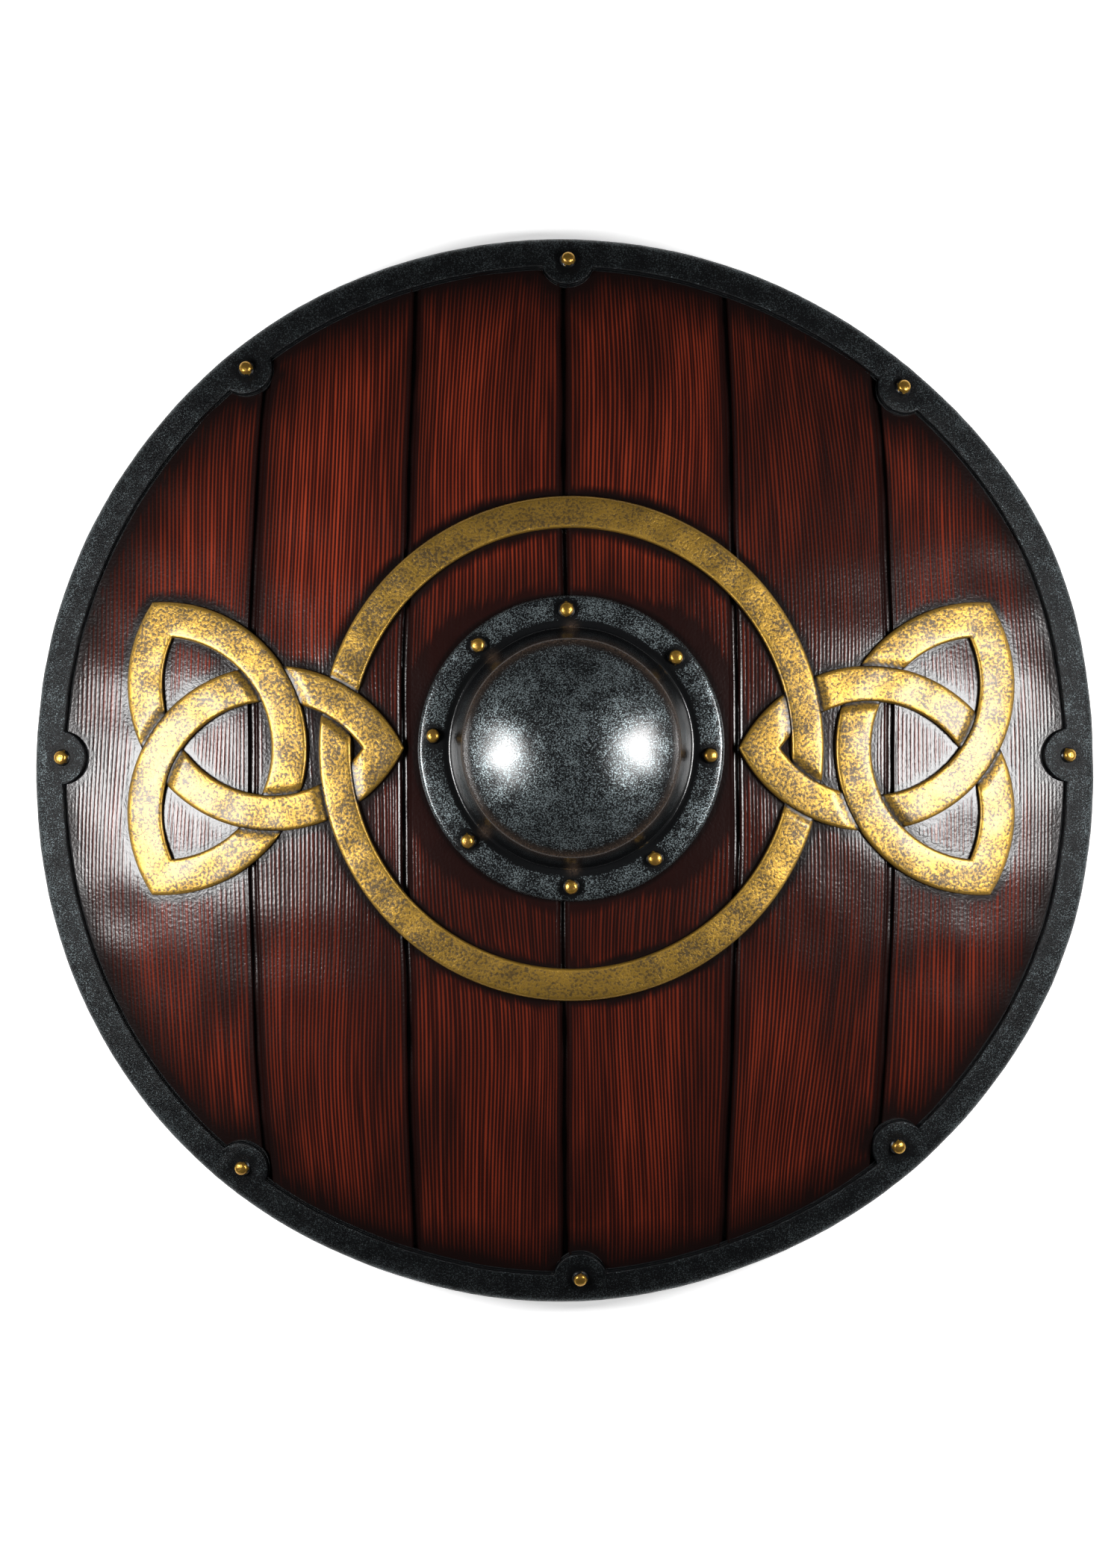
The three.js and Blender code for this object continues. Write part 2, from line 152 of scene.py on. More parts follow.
class ShieldColours(bpy.types.PropertyGroup):
    """Colours of the shield's paints"""

    grain_ridge: colour("Grain ridge", "Red-brown on the raised grain", (0.335, 0.0420, 0.0165))
    grain_groove: colour("Grain groove", "Dark paint left between the grain", (0.024, 0.0042, 0.0031))
    airbrush: colour("Airbrush", "Near-black sprayed along edges", (0.0050, 0.0028, 0.0026))
    iron: colour("Iron base", "Black under the silver speckle", (0.0028, 0.0031, 0.0035))
    silver: colour("Silver speckle", "Silver dabbed over the iron base", (0.36, 0.43, 0.45))
    rust: colour("Shoulder brown", "Brown dry-brushed on the dome's shoulder", (0.10, 0.065, 0.045))
    gold: colour("Gold", "Gold sponged on knotwork and studs", (0.47, 0.275, 0.045))
    gold_under: colour("Gold undercoat", "Dark olive that shows through the gold", (0.030, 0.017, 0.004))
    stud_shade: colour("Stud shade", "Deeper gold in patches on the studs", (0.42, 0.22, 0.05))
    back_skin: colour("Back skin", "Black-brown latex on the back", (0.020, 0.017, 0.015))
    floor: colour("Floor", "Pale studio floor", (0.86, 0.86, 0.86))


class StageSettings(bpy.types.PropertyGroup):
    """Camera and lights"""

    camera_distance: length("Camera distance", "From the camera down to the floor", 3.0, 0.5, 5.0)
    frame_height: length("Frame height", "Height of the view at the rim", 0.8824, 0.3, 3.0)
    box_distance: length("Softbox distance", "Of each softbox from the middle, sideways", 0.60, 0.3, 3.0)
    box_height: length("Softbox height", "Of each softbox over the floor", 0.56, 0.2, 3.0)
    box_width: length("Softbox width", "Width of each softbox", 0.22, 0.05, 2.0)
    box_length: length("Softbox length", "Length of each softbox", 0.28, 0.05, 2.0)
    box_power: bpy.props.FloatProperty(
        name="Softbox power", description="Power of each softbox", default=7.2, min=0.0, unit="POWER"
    )
    fill: bpy.props.FloatProperty(
        name="Fill", description="Strength of the even light all round", default=0.02, min=0.0
    )


def mm(value):
    return value / MM


def sizes():
    return bpy.context.scene.shield_sizes


def colours():
    return bpy.context.scene.shield_colours


def toned(shade, share):
    """A colour made darker by a share below 1, or lighter by one above it."""
    return tuple(share * part for part in shade)


# ---- The dished face ----
def face_height(x, y):
    s = sizes()
    return mm(s.edge_height) + mm(s.dish_depth) * (1 - (x**2 + y**2) / SHIELD_R**2)


def outline_radius(angle):
    share = 0.0
    for crests, part, phase in OUTLINE_WAVES:
        share = share + part * np.cos(crests * angle - math.radians(phase))
    return SHIELD_R * (1 + share)


def smooth(low, high, value):
    """0 below low, 1 above high, and a smooth step between."""
    t = np.clip((value - low) / (high - low), 0, 1)
    return t * t * (3 - 2 * t)


def waves(seed, wavelength, *places):
    """A soft random field, mostly between -1 and 1, the same for the same seed."""
    rng = np.random.default_rng(seed)
    count = 7
    total = np.zeros(np.broadcast(*places).shape)
    for _ in range(count):
        way = rng.normal(size=len(places))
        way *= 2 * np.pi / wavelength / np.linalg.norm(way) * rng.uniform(0.7, 1.4)
        total = total + np.cos(sum(w * p for w, p in zip(way, places)) + rng.uniform(0, 2 * np.pi))
    return total / math.sqrt(count)


# ---- Distances over the face, positive outside the thing they are measured from ----
def lobe_middles():
    """The middles of the rim's lobes, a little outside their studs."""
    distance = np.hypot(RIM_STUD_XY[:, :1], RIM_STUD_XY[:, 1:])
    return RIM_STUD_XY * (1 + mm(sizes().lobe_shift) / distance)


def rim_gap(x, y):
    s = sizes()
    gap = outline_radius(np.arctan2(y, x)) - mm(s.rim_width) - np.hypot(x, y)
    for middle in lobe_middles():
        gap = np.minimum(gap, np.hypot(x - middle[0], y - middle[1]) - mm(s.lobe_radius))
    return gap


def boss_gap(x, y):
    return np.hypot(x - BOSS_OFFSET[0], y - BOSS_OFFSET[1]) - BOSS_R


def stud_gap(x, y, studs):
    return np.min([np.hypot(x - stud[0], y - stud[1]) for stud in studs], axis=0)


def trefoil_arcs(side):
    """The middles of a trefoil's three circles, with the direction of each from the trefoil's middle."""
    s = sizes()
    middle = BOSS_OFFSET + np.array([side * mm(s.trefoil_shift), 0.0])
    inward = math.pi if side > 0 else 0.0
    turns = [inward + math.radians(turn) for turn in (60, 180, 300)]
    offset = mm(s.trefoil_radius) / math.sqrt(3)
    return middle, [(middle + offset * np.array([math.cos(t), math.sin(t)]), t) for t in turns]


def ring_gap(x, y):
    s = sizes()
    along = np.hypot(x - BOSS_OFFSET[0], y - BOSS_OFFSET[1]) - mm(s.ring_radius)
    return np.abs(along) - mm(s.ring_width) / 2


def trefoil_gaps(x, y, side):
    """The distance from each strap of one trefoil, with its ends cut off by the straps they meet."""
    s = sizes()
    radius, half = mm(s.trefoil_radius), mm(s.trefoil_width) / 2
    reach = [np.hypot(x - c[0], y - c[1]) - radius for c, _ in trefoil_arcs(side)[1]]
    gaps = []
    for k in range(3):
        first, second = reach[(k + 1) % 3], reach[(k + 2) % 3]
        gaps.append(np.maximum(np.abs(reach[k]) - half, np.minimum(first, second) - half))
    return gaps


def knot_gap(x, y):
    gaps = [ring_gap(x, y)] + trefoil_gaps(x, y, 1) + trefoil_gaps(x, y, -1)
    return np.min(gaps, axis=0)


# ---- Meshes from arrays ----
def place(points):
    """Millimetres round the middle of the dish, as the frame's metres."""
    return (np.asarray(points, dtype=float) + np.array([*DISH_MIDDLE, 0.0])) * MM


def add_piece(name, points, faces, materials, nodes, attributes=None, indices=None, sharp=50):
    """A finished piece that rides on the body and stands for its nodes."""
    mesh = bpy.data.meshes.new(name)
    mesh.from_pydata(place(points).tolist(), [], faces)
    mesh.update()
    for key, values in (attributes or {}).items():
        data = mesh.attributes.new(key, "FLOAT", "POINT").data
        data.foreach_set("value", np.asarray(values, dtype=np.float32).ravel())
    return finish_piece(name, mesh, materials, nodes, indices, sharp)


def finish_piece(name, mesh, materials, nodes, indices=None, sharp=50):
    for material in materials:
        mesh.materials.append(material)
    if indices is not None:
        mesh.polygons.foreach_set("material_index", np.asarray(indices, dtype=np.int32))
    mesh.shade_smooth()
    mesh.set_sharp_from_angle(angle=math.radians(sharp))
    piece = bpy.data.objects.new(name, mesh)
    bpy.context.scene.collection.objects.link(piece)
    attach(piece, "root")
    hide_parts(*nodes)
    return piece


def grid_faces(rows, columns, wrap_rows=False, wrap_columns=False, flip=False):
    """Quads over a grid of points that is stored row by row."""
    i = np.arange(rows if wrap_rows else rows - 1)[:, None]
    j = np.arange(columns if wrap_columns else columns - 1)[None, :]
    a = i * columns + j
    b = i * columns + (j + 1) % columns
    c = ((i + 1) % rows) * columns + (j + 1) % columns
    d = ((i + 1) % rows) * columns + j
    order = (a, d, c, b) if flip else (a, b, c, d)
    return np.stack([part.ravel() for part in np.broadcast_arrays(*order)], axis=1).tolist()


def bridge(outer, inner):
    """Triangles between two closed loops, each a list of (angle, index) in order of angle."""
    triangles = []
    i = j = 0
    while i < len(outer) or j < len(inner):
        next_outer = outer[(i + 1) % len(outer)][0] + 2 * math.pi * ((i + 1) // len(outer))
        next_inner = inner[(j + 1) % len(inner)][0] + 2 * math.pi * ((j + 1) // len(inner))
        a, b = outer[i % len(outer)][1], inner[j % len(inner)][1]
        if j >= len(inner) or (i < len(outer) and next_outer <= next_inner):
            triangles.append((a, outer[(i + 1) % len(outer)][1], b))
            i += 1
        else:
            triangles.append((a, inner[(j + 1) % len(inner)][1], b))
            j += 1
    return triangles


# ---- Node trees written as expressions ----
class Value:
    """One socket of a node tree. Sums and products with it add Math nodes."""

    def __init__(self, tree, socket):
        self.tree = tree
        self.socket = socket

    def math(self, operation, *values, clamp=False):
        settings = {"operation": operation, "use_clamp": clamp}
        return self.tree.node("ShaderNodeMath", settings, {i: value for i, value in enumerate(values)})

    def __add__(self, other):
        return self.math("ADD", self, other)

    __radd__ = __add__

    def __sub__(self, other):
        return self.math("SUBTRACT", self, other)

    def __rsub__(self, other):
        return self.math("SUBTRACT", other, self)

    def __mul__(self, other):
        return self.math("MULTIPLY", self, other)

    __rmul__ = __mul__

    def __truediv__(self, other):
        return self.math("DIVIDE", self, other)

    def __rtruediv__(self, other):
        return self.math("DIVIDE", other, self)

    def most(self, other):
        return self.math("MAXIMUM", self, other)

    def clamped(self):
        return self.math("ADD", self, 0.0, clamp=True)

    def step(self, low, high):
        """0 at low and 1 at high, smooth between; low may be the larger."""
        settings = {"interpolation_type": "SMOOTHSTEP"}
        if low < high:
            ends = {"Value": self, "From Min": low, "From Max": high, "To Min": 0.0, "To Max": 1.0}
        else:
            ends = {"Value": self, "From Min": high, "From Max": low, "To Min": 1.0, "To Max": 0.0}
        return self.tree.node("ShaderNodeMapRange", settings, ends)


class Tree:
    """A node tree that gets its nodes from one method."""

    def __init__(self, node_tree):
        self.node_tree = node_tree

    def node(self, kind, settings=None, inputs=None, output=0):
        made = self.node_tree.nodes.new(kind)
        for key, value in (settings or {}).items():
            if key == "curve":
                self.set_curve(made.mapping, value)
            else:
                setattr(made, key, value)
        for key, value in (inputs or {}).items():
            socket = made.inputs[key]
            if isinstance(value, Value):
                self.node_tree.links.new(value.socket, socket)
            else:
                socket.default_value = value
        return Value(self, made.outputs[output]) if len(made.outputs) else made

    @staticmethod
    def set_curve(mapping, points):
        curve = mapping.curves[0]
        while len(curve.points) < len(points):
            curve.points.new(0.5, 0.5)
        for point, (x, y) in zip(curve.points, points):
            point.location = (x, y)
            point.handle_type = "VECTOR"
        mapping.update()


class Paint(Tree):
    """The node tree of one material."""

    def __init__(self, name):
        self.material = bpy.data.materials.new(name)
        self.material.use_nodes = True
        super().__init__(self.material.node_tree)
        self.node_tree.nodes.clear()
        self.place = self.node("ShaderNodeTexCoord", output="Object")

    def attribute(self, name):
        settings = {"attribute_name": name, "attribute_type": "GEOMETRY"}
        return self.node("ShaderNodeAttribute", settings, output="Fac")

    def stretched(self, x, y, z):
        """Object coordinates with each axis counted in cells of so many metres."""
        inputs = {"Vector": self.place, "Scale": (1 / x, 1 / y, 1 / z)}
        return self.node("ShaderNodeMapping", {"vector_type": "POINT"}, inputs)

    def noise(self, cell, detail=2.0, rough=0.5, vector=None):
        """Noise from 0 to 1 with features about cell metres across."""
        inputs = {"Vector": vector or self.place, "Scale": 1 / cell, "Detail": detail, "Roughness": rough}
        return self.node("ShaderNodeTexNoise", None, inputs, "Fac")

    def mix(self, share, first, second):
        """The first colour where the share is 0, the second where it is 1."""
        inputs = {0: share, 6: self.shade(first), 7: self.shade(second)}
        return self.node("ShaderNodeMix", {"data_type": "RGBA", "clamp_factor": True}, inputs, 2)

    @staticmethod
    def shade(value):
        return value if isinstance(value, Value) else (*value, 1.0)

    def bump(self, height, distance, strength):
        inputs = {"Height": height, "Distance": distance, "Strength": strength}
        return self.node("ShaderNodeBump", None, inputs, "Normal")

    def surface(self, **inputs):
        """The finished Principled surface, with underscores for spaces in its sockets' names."""
        named = {key.replace("_", " "): value for key, value in inputs.items()}
        for key in ("Base Color", "Emission Color"):
            if key in named:
                named[key] = self.shade(named[key])
        shader = self.node("ShaderNodeBsdfPrincipled", None, named)
        self.node("ShaderNodeOutputMaterial", None, {"Surface": shader})
        return self.material


# ---- Paints ----
# Near-black sprayed along edges: the distance it follows, in millimetres, how ragged it is, the
# distances where it ends and where it is full, and how strong it is.
SPRAYS = [
    ("seam_gap", 0.7, 21.0, -2.0, 0.74),
    ("rim_gap", 1.0, 50.0, 0.0, 0.97),
    ("boss_gap", 1.0, 44.0, 6.0, 0.68),
    ("boss_gap", 0.3, 7.0, 1.0, 0.95),
    ("knot_gap", 0.5, 10.0, 0.5, 1.0),
]
RAGGED_MM = 18.0  # by how far the sprays' edges wander


def plank_paint():
    """Red-brown on raised grain over near-black, sprayed dark along every edge, under a glossy skin."""
    c = colours()
    paint = Paint("plank_paint")
    streak = paint.noise(1.0, 3.0, 0.6, paint.stretched(0.0011, 0.055, 0.5))
    cloud = paint.noise(0.045, 3.0, 0.55, paint.stretched(0.8, 1.4, 1.0))
    peel = paint.noise(0.0016, 2.0, 0.5)
    raised = (paint.attribute("grain") + (streak - 0.5) * 0.24).step(0.36, 0.92)
    ragged = (cloud - 0.5) * RAGGED_MM
    spray = 1.0 - paint.attribute("redness")
    for gap, wander, far, near, strength in SPRAYS:
        spray = spray.most((paint.attribute(gap) + ragged * wander).step(far, near) * strength)
    ridge = paint.mix(paint.attribute("tone"), toned(c.grain_ridge, 0.52), c.grain_ridge)
    wood = paint.mix(raised, c.grain_groove, ridge)
    clouded = paint.mix((cloud - 0.36) * 1.6, wood, paint.mix(0.5, wood, c.grain_groove))
    skin = paint.mix((spray * 0.97).clamped(), clouded, c.airbrush)
    rough = 0.175 + (1.0 - raised) * 0.05 + (streak - 0.5) * 0.08
    normal = paint.bump(peel + raised * 0.4, 0.00016, 0.7)
    return paint.surface(Base_Color=skin, Roughness=rough, Normal=normal, Specular_IOR_Level=0.36)


def iron_paint(name, coverage, bright, gloss, peel, shine):
    """Black latex dabbed with fine silver: how much silver and how bright, then how rough the black is,
    how deep its fine peel and how strong its shine."""
    c = colours()
    paint = Paint(name)
    grit = paint.noise(0.00085, 2.0, 0.7)
    grit_fine = paint.noise(0.00034, 1.0, 0.5)
    dabs = paint.noise(0.012, 3.0, 0.6)
    grain = grit * 0.6 + grit_fine * 0.4
    amount = grain + (dabs - 0.5) * 0.20 + (paint.attribute("flake") - 1.0) * 0.34
    speck = (amount + coverage).step(0.495, 0.590)
    base = paint.mix(speck, c.iron, toned(c.silver, bright))
    base = paint.mix(paint.attribute("brown") * (grit * 1.6 - 0.45) * 0.8, base, c.rust)
    return paint.surface(
        Base_Color=base,
        Metallic=speck * 0.97,
        Roughness=gloss + speck * (0.42 - gloss),
        Normal=paint.bump(grain, peel, 0.5),
        Specular_IOR_Level=shine,
    )


def gold_paint():
    """Gold sponged over dark latex, black where straps step down and along their feet."""
    c = colours()
    paint = Paint("gold_paint")
    edge, top, step = paint.attribute("edge"), paint.attribute("top"), paint.attribute("step")
    sponge = paint.noise(0.0016, 4.0, 0.66)
    dabs = paint.noise(0.018, 3.0, 0.6)
    cover = (sponge + (dabs - 0.5) * 0.34 + edge * 0.12).step(0.38, 0.62)
    cover = cover * (top + (sponge - 0.5) * 0.3).step(0.45, 0.80) * (1.0 - step)
    gold = paint.mix(dabs.step(0.3, 0.75), toned(c.gold, 0.78), c.gold)
    base = paint.mix(cover * 0.92 + top * 0.08, c.gold_under, gold)
    base = paint.mix((1.0 - top).step(0.15, 0.5).most(step), base, c.airbrush)
    return paint.surface(
        Base_Color=base,
        Metallic=0.30 + cover * 0.58,
        Roughness=0.44 - cover * 0.06,
        Normal=paint.bump(sponge, 0.00045, 0.7),
        Coat_Weight=0.35,
        Coat_Roughness=0.25,
    )


def stud_paint():
    """Gold on a stud's cap, black on its skirt."""
    c = colours()
    paint = Paint("stud_paint")
    dabs = paint.noise(0.0022, 3.0, 0.6)
    cover = (paint.attribute("cap") + (dabs - 0.5) * 1.1).step(0.40, 0.50)
    base = paint.mix(cover, c.iron, paint.mix(dabs.step(0.35, 0.6), c.stud_shade, c.gold))
    normal = paint.bump(dabs, 0.0006, 0.6)
    return paint.surface(Base_Color=base, Metallic=cover * 0.85, Roughness=0.30, Normal=normal)


def back_paint():
    """Plain black-brown latex with a faint foam pattern."""
    c = colours()
    paint = Paint("back_paint")
    dabs = paint.noise(0.03, 3.0, 0.6)
    cells = paint.noise(0.0018, 2.0, 0.6)
    base = paint.mix(dabs, c.back_skin, toned(c.back_skin, 1.9))
    normal = paint.bump(cells + dabs * 2.0, 0.0004, 0.6)
    return paint.surface(Base_Color=base, Roughness=0.42 + dabs * 0.15, Normal=normal)


def floor_paint():
    """A matt pale floor that glows a little, so that it stays pale round the piece."""
    c = colours()
    paint = Paint("floor_paint")
    base = paint.mix(paint.noise(0.4, 1.0, 0.5), c.floor, toned(c.floor, 0.99))
    return paint.surface(Base_Color=base, Roughness=0.9, Emission_Color=c.floor, Emission_Strength=0.75)


# ---- Board ----
HALF_ROWS = 40  # rows of the face's mesh on each side of the hand hole
SIDE_X = 289.6  # of the straight edges of the face's mesh, under the rim
LINE_SECTION = [(0.0, 0.0), (0.28, 0.62), (0.5, 1.0), (0.72, 0.62)]  # (share, height) across a grain line
# Across half a seam: half widths from its middle, and shares of its depth. Its lips stand up a little.
SEAM_SECTION = [
    (-1.36, 0.0),
    (-1.14, -0.10),
    (-0.98, -0.09),
    (-0.84, 0.25),
    (-0.66, 0.85),
    (-0.38, 1.0),
    (0.0, 1.03),
]
SEAM_MARGIN = 1.55  # half widths that a seam takes from the planks on either side
SMOOTH_GRAIN = 0.30  # height between groove and ridge where the skin is smooth
PLANK_TONES = [1.08, 1.08, 0.95, 0.76, 0.38, 0.66]  # how red the planks are above the boss
LOWER_DARKER = 0.42  # how much darker they are below it

# The columns of the face's mesh, left to right: the plank, where a half more stands for the seam on its
# right, the share across the plank, the grain line, the height on it, the distance from the seam's
# middle and the share of the seam's depth.
Columns = namedtuple("Columns", "plank share line height seam_offset seam_depth")


def board_radius(x, y):
    return outline_radius(np.arctan2(y, x)) - BOARD_INSET


def seam_half_width():
    return mm(sizes().seam_width) / 2


def seam_x(x, y):
    """The x at height y up the face of a seam that stands at x in its middle."""
    return x * (1 - SEAM_BOW * (y / SHIELD_R) ** 2)


def face_columns():
    """Four columns for each grain line and a section for each seam."""
    rng = np.random.default_rng(11)
    edges = [-SIDE_X, *SEAMS_X, SIDE_X]
    seam_section = SEAM_SECTION + [(-across, deep) for across, deep in SEAM_SECTION[-2::-1]]
    columns = []
    line = 0
    for plank in range(6):
        width = edges[plank + 1] - edges[plank]
        count = round(width / mm(sizes().grain_pitch))
        spread = rng.uniform(0.86, 1.16, count)
        ends = np.concatenate([[0], np.cumsum(spread)]) / spread.sum()
        for k in range(count):
            for part, height in LINE_SECTION:
                share = ends[k] + (ends[k + 1] - ends[k]) * part
                columns.append((plank, share, line + k, height, 0.0, 0.0))
        columns.append((plank, 1.0, line + count - 1, 0.0, 0.0, 0.0))
        line += count
        if plank < 5:
            for across, deep in seam_section:
                columns.append((plank + 0.5, 1.0, line, 0.5, across * seam_half_width(), deep))
    return Columns(*np.array(columns).T[:, :, None])


def column_x(columns, y):
    """The x of every column at heights y up the face: columns down, rows across."""
    edges = np.array([-SIDE_X, *SEAMS_X, SIDE_X])
    plank = np.floor(columns.plank).astype(int)
    margin = seam_half_width() * SEAM_MARGIN

    def edge_x(index):
        straight = edges[index] * np.ones_like(y)
        wander = 0.5 * np.sin(y / 47.0 + index * 2.1) + 0.3 * np.sin(y / 19.0 + index)
        return np.where((index > 0) & (index < 6), seam_x(straight, y) + wander, straight)

    left, right = edge_x(plank), edge_x(plank + 1)
    left = left + np.where(plank > 0, margin, 0.0)
    pad = np.where(plank < 5, margin, 0.0)
    share = columns.share
    flow = 4.5 * np.sin(y / 88.0 + plank * 1.9) + 2.4 * np.sin(y / 37.0 + plank * 2.7)
    bend = flow * 4 * share * (1 - share) * (0.55 + 0.45 * share)
    inside = left + (right - pad - left) * share + bend
    return np.where(columns.plank != plank, right + columns.seam_offset, inside)


def column_ends(columns, side):
    """The y where each column starts, at the hand hole or its level, the y where it meets the board's
    edge, and whether it starts at the hole. The side is 1 for the upper half, -1 for the lower."""
    hole = mm(sizes().hand_hole)
    level = np.full(columns.plank.shape, BOSS_OFFSET[1])
    across = column_x(columns, level) - BOSS_OFFSET[0]
    start = BOSS_OFFSET[1] + side * np.sqrt(np.maximum(hole**2 - across**2, 0))
    end = side * np.full(columns.plank.shape, 200.0)
    for _ in range(12):
        x = column_x(columns, end)
        end = side * np.sqrt(np.maximum(board_radius(x, end) ** 2 - x**2, 0))
    return start, end, np.abs(across).ravel() < hole


def grain_height(columns, y):
    """How high the grain stands at each point, from 0 in a groove to 1 on a ridge."""
    rng = np.random.default_rng(5)
    line = columns.line.astype(int).ravel()
    lines = line.max() + 1
    phase = rng.uniform(0, 2 * np.pi, (3, lines))[:, line][:, :, None]
    strength = rng.uniform(0.75, 0.93, lines)[line][:, None]
    fade = 0.08 * np.sin(y / 23.0 + phase[0]) + 0.04 * np.sin(y / 9.5 + phase[1])
    fade = fade + 0.07 * np.sin(y / 61.0 + phase[2])
    ridge = np.clip(strength + fade, 0.15, 1.0)
    depth = np.clip(0.95 + 1.5 * np.sin(y / 41.0 + phase[1]) * np.sin(y / 17.0 + phase[2] * 2), 0.25, 1.0)
    return columns.height * ridge + (1 - columns.height) * (1 - depth) * 0.40


def line_tone(columns, x, y):
    """How bright the paint on each line is, from 0 to 1: lines differ, and bundles of lines drift."""
    rng = np.random.default_rng(15)
    line = columns.line.astype(int).ravel()
    lines = line.max() + 1
    own = rng.uniform(0, 1, lines)[line][:, None]
    phase = rng.uniform(0, 2 * np.pi, (2, lines))[:, line][:, :, None]
    drift = 0.5 + 0.5 * waves(16, 11.0, x, y * 0.06)
    swing = 0.5 + 0.25 * np.sin(y / 33.0 + phase[0]) + 0.25 * np.sin(y / 74.0 + phase[1])
    return np.clip(0.22 + 0.18 * own + 0.17 * drift + 0.21 * swing, 0, 1)


def board_gaps(x, y):
    """The distances from the board's points to what the paint is sprayed along."""
    seams = [np.abs(x - seam_x(seam, y)) for seam in SEAMS_X]
    return {
        "rim_gap": rim_gap(x, y),
        "boss_gap": boss_gap(x, y),
        "knot_gap": knot_gap(x, y),
        "seam_gap": np.min(seams, axis=0) - seam_half_width(),
    }


def grained_share(x, y, gaps):
    """1 where the board is grained, 0 where the skin is smooth: close to rim, boss, knotwork and seams."""
    share = smooth(2.5, 7.5, gaps["rim_gap"] + 1.5 * waves(3, 9.0, x, y))
    share *= smooth(3.0, 7.0, gaps["boss_gap"] - 9 * smooth(30, 70, np.abs(x - BOSS_OFFSET[0])))
    share *= smooth(0.8, 4.5, gaps["knot_gap"] + waves(4, 9.0, x, y))
    return share * smooth(-1.0, 1.6, gaps["seam_gap"])


def carved_height(x, y, grain, seam_depth, gaps):
    """The face with its grain and seams, with nicks in the seams and the foam's own unevenness."""
    s = sizes()
    deep = seam_depth * (1 + 0.12 * waves(8, 35.0, x, y))
    nicks = smooth(0.75, 1.0, waves(9, 12.0, x, y)) * smooth(60, 20, gaps["rim_gap"])
    z = face_height(x, y) - mm(s.grain_depth) * (1 - grain) - mm(s.seam_depth) * deep
    return z + 0.22 * waves(21, 45.0, x, y) - 0.35 * nicks * (seam_depth > 0)


def plank_redness(columns, x, y, gaps):
    """How much red shows: less in a band across the boss, in soft clouds, by the seams and low down."""
    band = smooth(135, 60, np.abs(y + 6)) * smooth(60, 20, gaps["boss_gap"] * 0.35)
    red = 1 - 0.55 * band * (0.8 + 0.3 * waves(31, 90.0, x, y))
    red = red - 0.42 * smooth(-0.2, 1.5, waves(33, 70.0, x, y * 0.45))
    red = red - 0.40 * smooth(-0.2, 1.4, waves(34, 52.0, x, y * 0.35)) * smooth(36, 0, gaps["seam_gap"])
    plank = np.clip(np.floor(columns.plank + 0.25).astype(int), 0, 5)
    upper = smooth(-60, 90, y)
    red = red - (1 - np.array(PLANK_TONES)[plank]) * upper - LOWER_DARKER * (1 - upper)
    return np.clip(red, 0.24, 1)


def make_board():
    columns = face_columns()
    share = np.linspace(0, 1, HALF_ROWS + 1)[None, :]
    halves = []
    for side in (1, -1):
        start, end, in_hole = column_ends(columns, side)
        y = start + (end - start) * share
        halves.append((column_x(columns, y), y))
    x, y = (np.concatenate(parts) for parts in zip(*halves))
    both = Columns(*(np.concatenate([part, part]) for part in columns))
    gaps = board_gaps(x, y)
    grain = SMOOTH_GRAIN + (grain_height(both, y) - SMOOTH_GRAIN) * grained_share(x, y, gaps)
    z = carved_height(x, y, grain, both.seam_depth, gaps)
    attributes = {**gaps, "grain": grain, "tone": line_tone(both, x, y)}
    attributes["redness"] = plank_redness(both, x, y, gaps)
    points = np.stack([x, y, z], axis=2).reshape(-1, 3)
    top, bottom = np.arange(len(points)).reshape(2, -1, HALF_ROWS + 1)
    bottom[~in_hole, 0] = top[~in_hole, 0]
    faces = quads_between(top, True) + quads_between(bottom, False)
    front_faces = len(faces)
    outer, hole = face_loops(top, bottom, in_hole)
    back_points, back_faces, back_outer, back_hole = back_skin(len(points))
    points = np.concatenate([points, back_points])
    unpainted = np.zeros(len(back_points))
    attributes = {key: np.concatenate([value.ravel(), unpainted]) for key, value in attributes.items()}
    wall = bridge(by_angle(points, outer, (0, 0)), by_angle(points, back_outer, (0, 0)))
    faces += [tuple(reversed(face)) for face in wall]
    faces += bridge(by_angle(points, hole, BOSS_OFFSET), by_angle(points, back_hole, BOSS_OFFSET))
    faces += back_faces
    indices = [0] * front_faces + [1] * (len(faces) - front_faces)
    points, faces, attributes = drop_unused(points, faces, attributes)
    materials = [plank_paint(), back_paint()]
    add_piece("board_skin", points, faces, materials, ["board"], attributes, indices)


def quads_between(index, upward):
    """Quads between the columns of a grid of indices."""
    a, b, c, d = index[:-1, :-1], index[1:, :-1], index[1:, 1:], index[:-1, 1:]
    order = (a, b, c, d) if upward else (a, d, c, b)
    return np.stack([part.ravel() for part in order], axis=1).tolist()


def face_loops(top, bottom, in_hole):
    """The indices along the face's outer edge and along the hand hole."""
    right = [*top[-1, ::-1], *bottom[-1, 1:]]
    left = [*bottom[0, ::-1], *top[0, 1:]]
    outer = [*top[:, -1], *right[1:], *bottom[::-1, -1][1:], *left[1:-1]]
    inside = np.flatnonzero(in_hole)
    hole = [*top[inside[0] - 1 : inside[-1] + 2, 0], *bottom[inside[::-1], 0]]
    return outer, hole


def by_angle(points, indices, middle):
    """A loop as (angle, index) in order of angle round its middle."""
    turns = [(math.atan2(points[i][1] - middle[1], points[i][0] - middle[0]), int(i)) for i in indices]
    return sorted(turns)


def drop_unused(points, faces, attributes):
    """Leaves out points that no face uses."""
    used = np.zeros(len(points), dtype=bool)
    for face in faces:
        used[list(face)] = True
    new = np.cumsum(used) - 1
    faces = [tuple(int(new[index]) for index in face) for face in faces]
    return points[used], faces, {key: value[used] for key, value in attributes.items()}


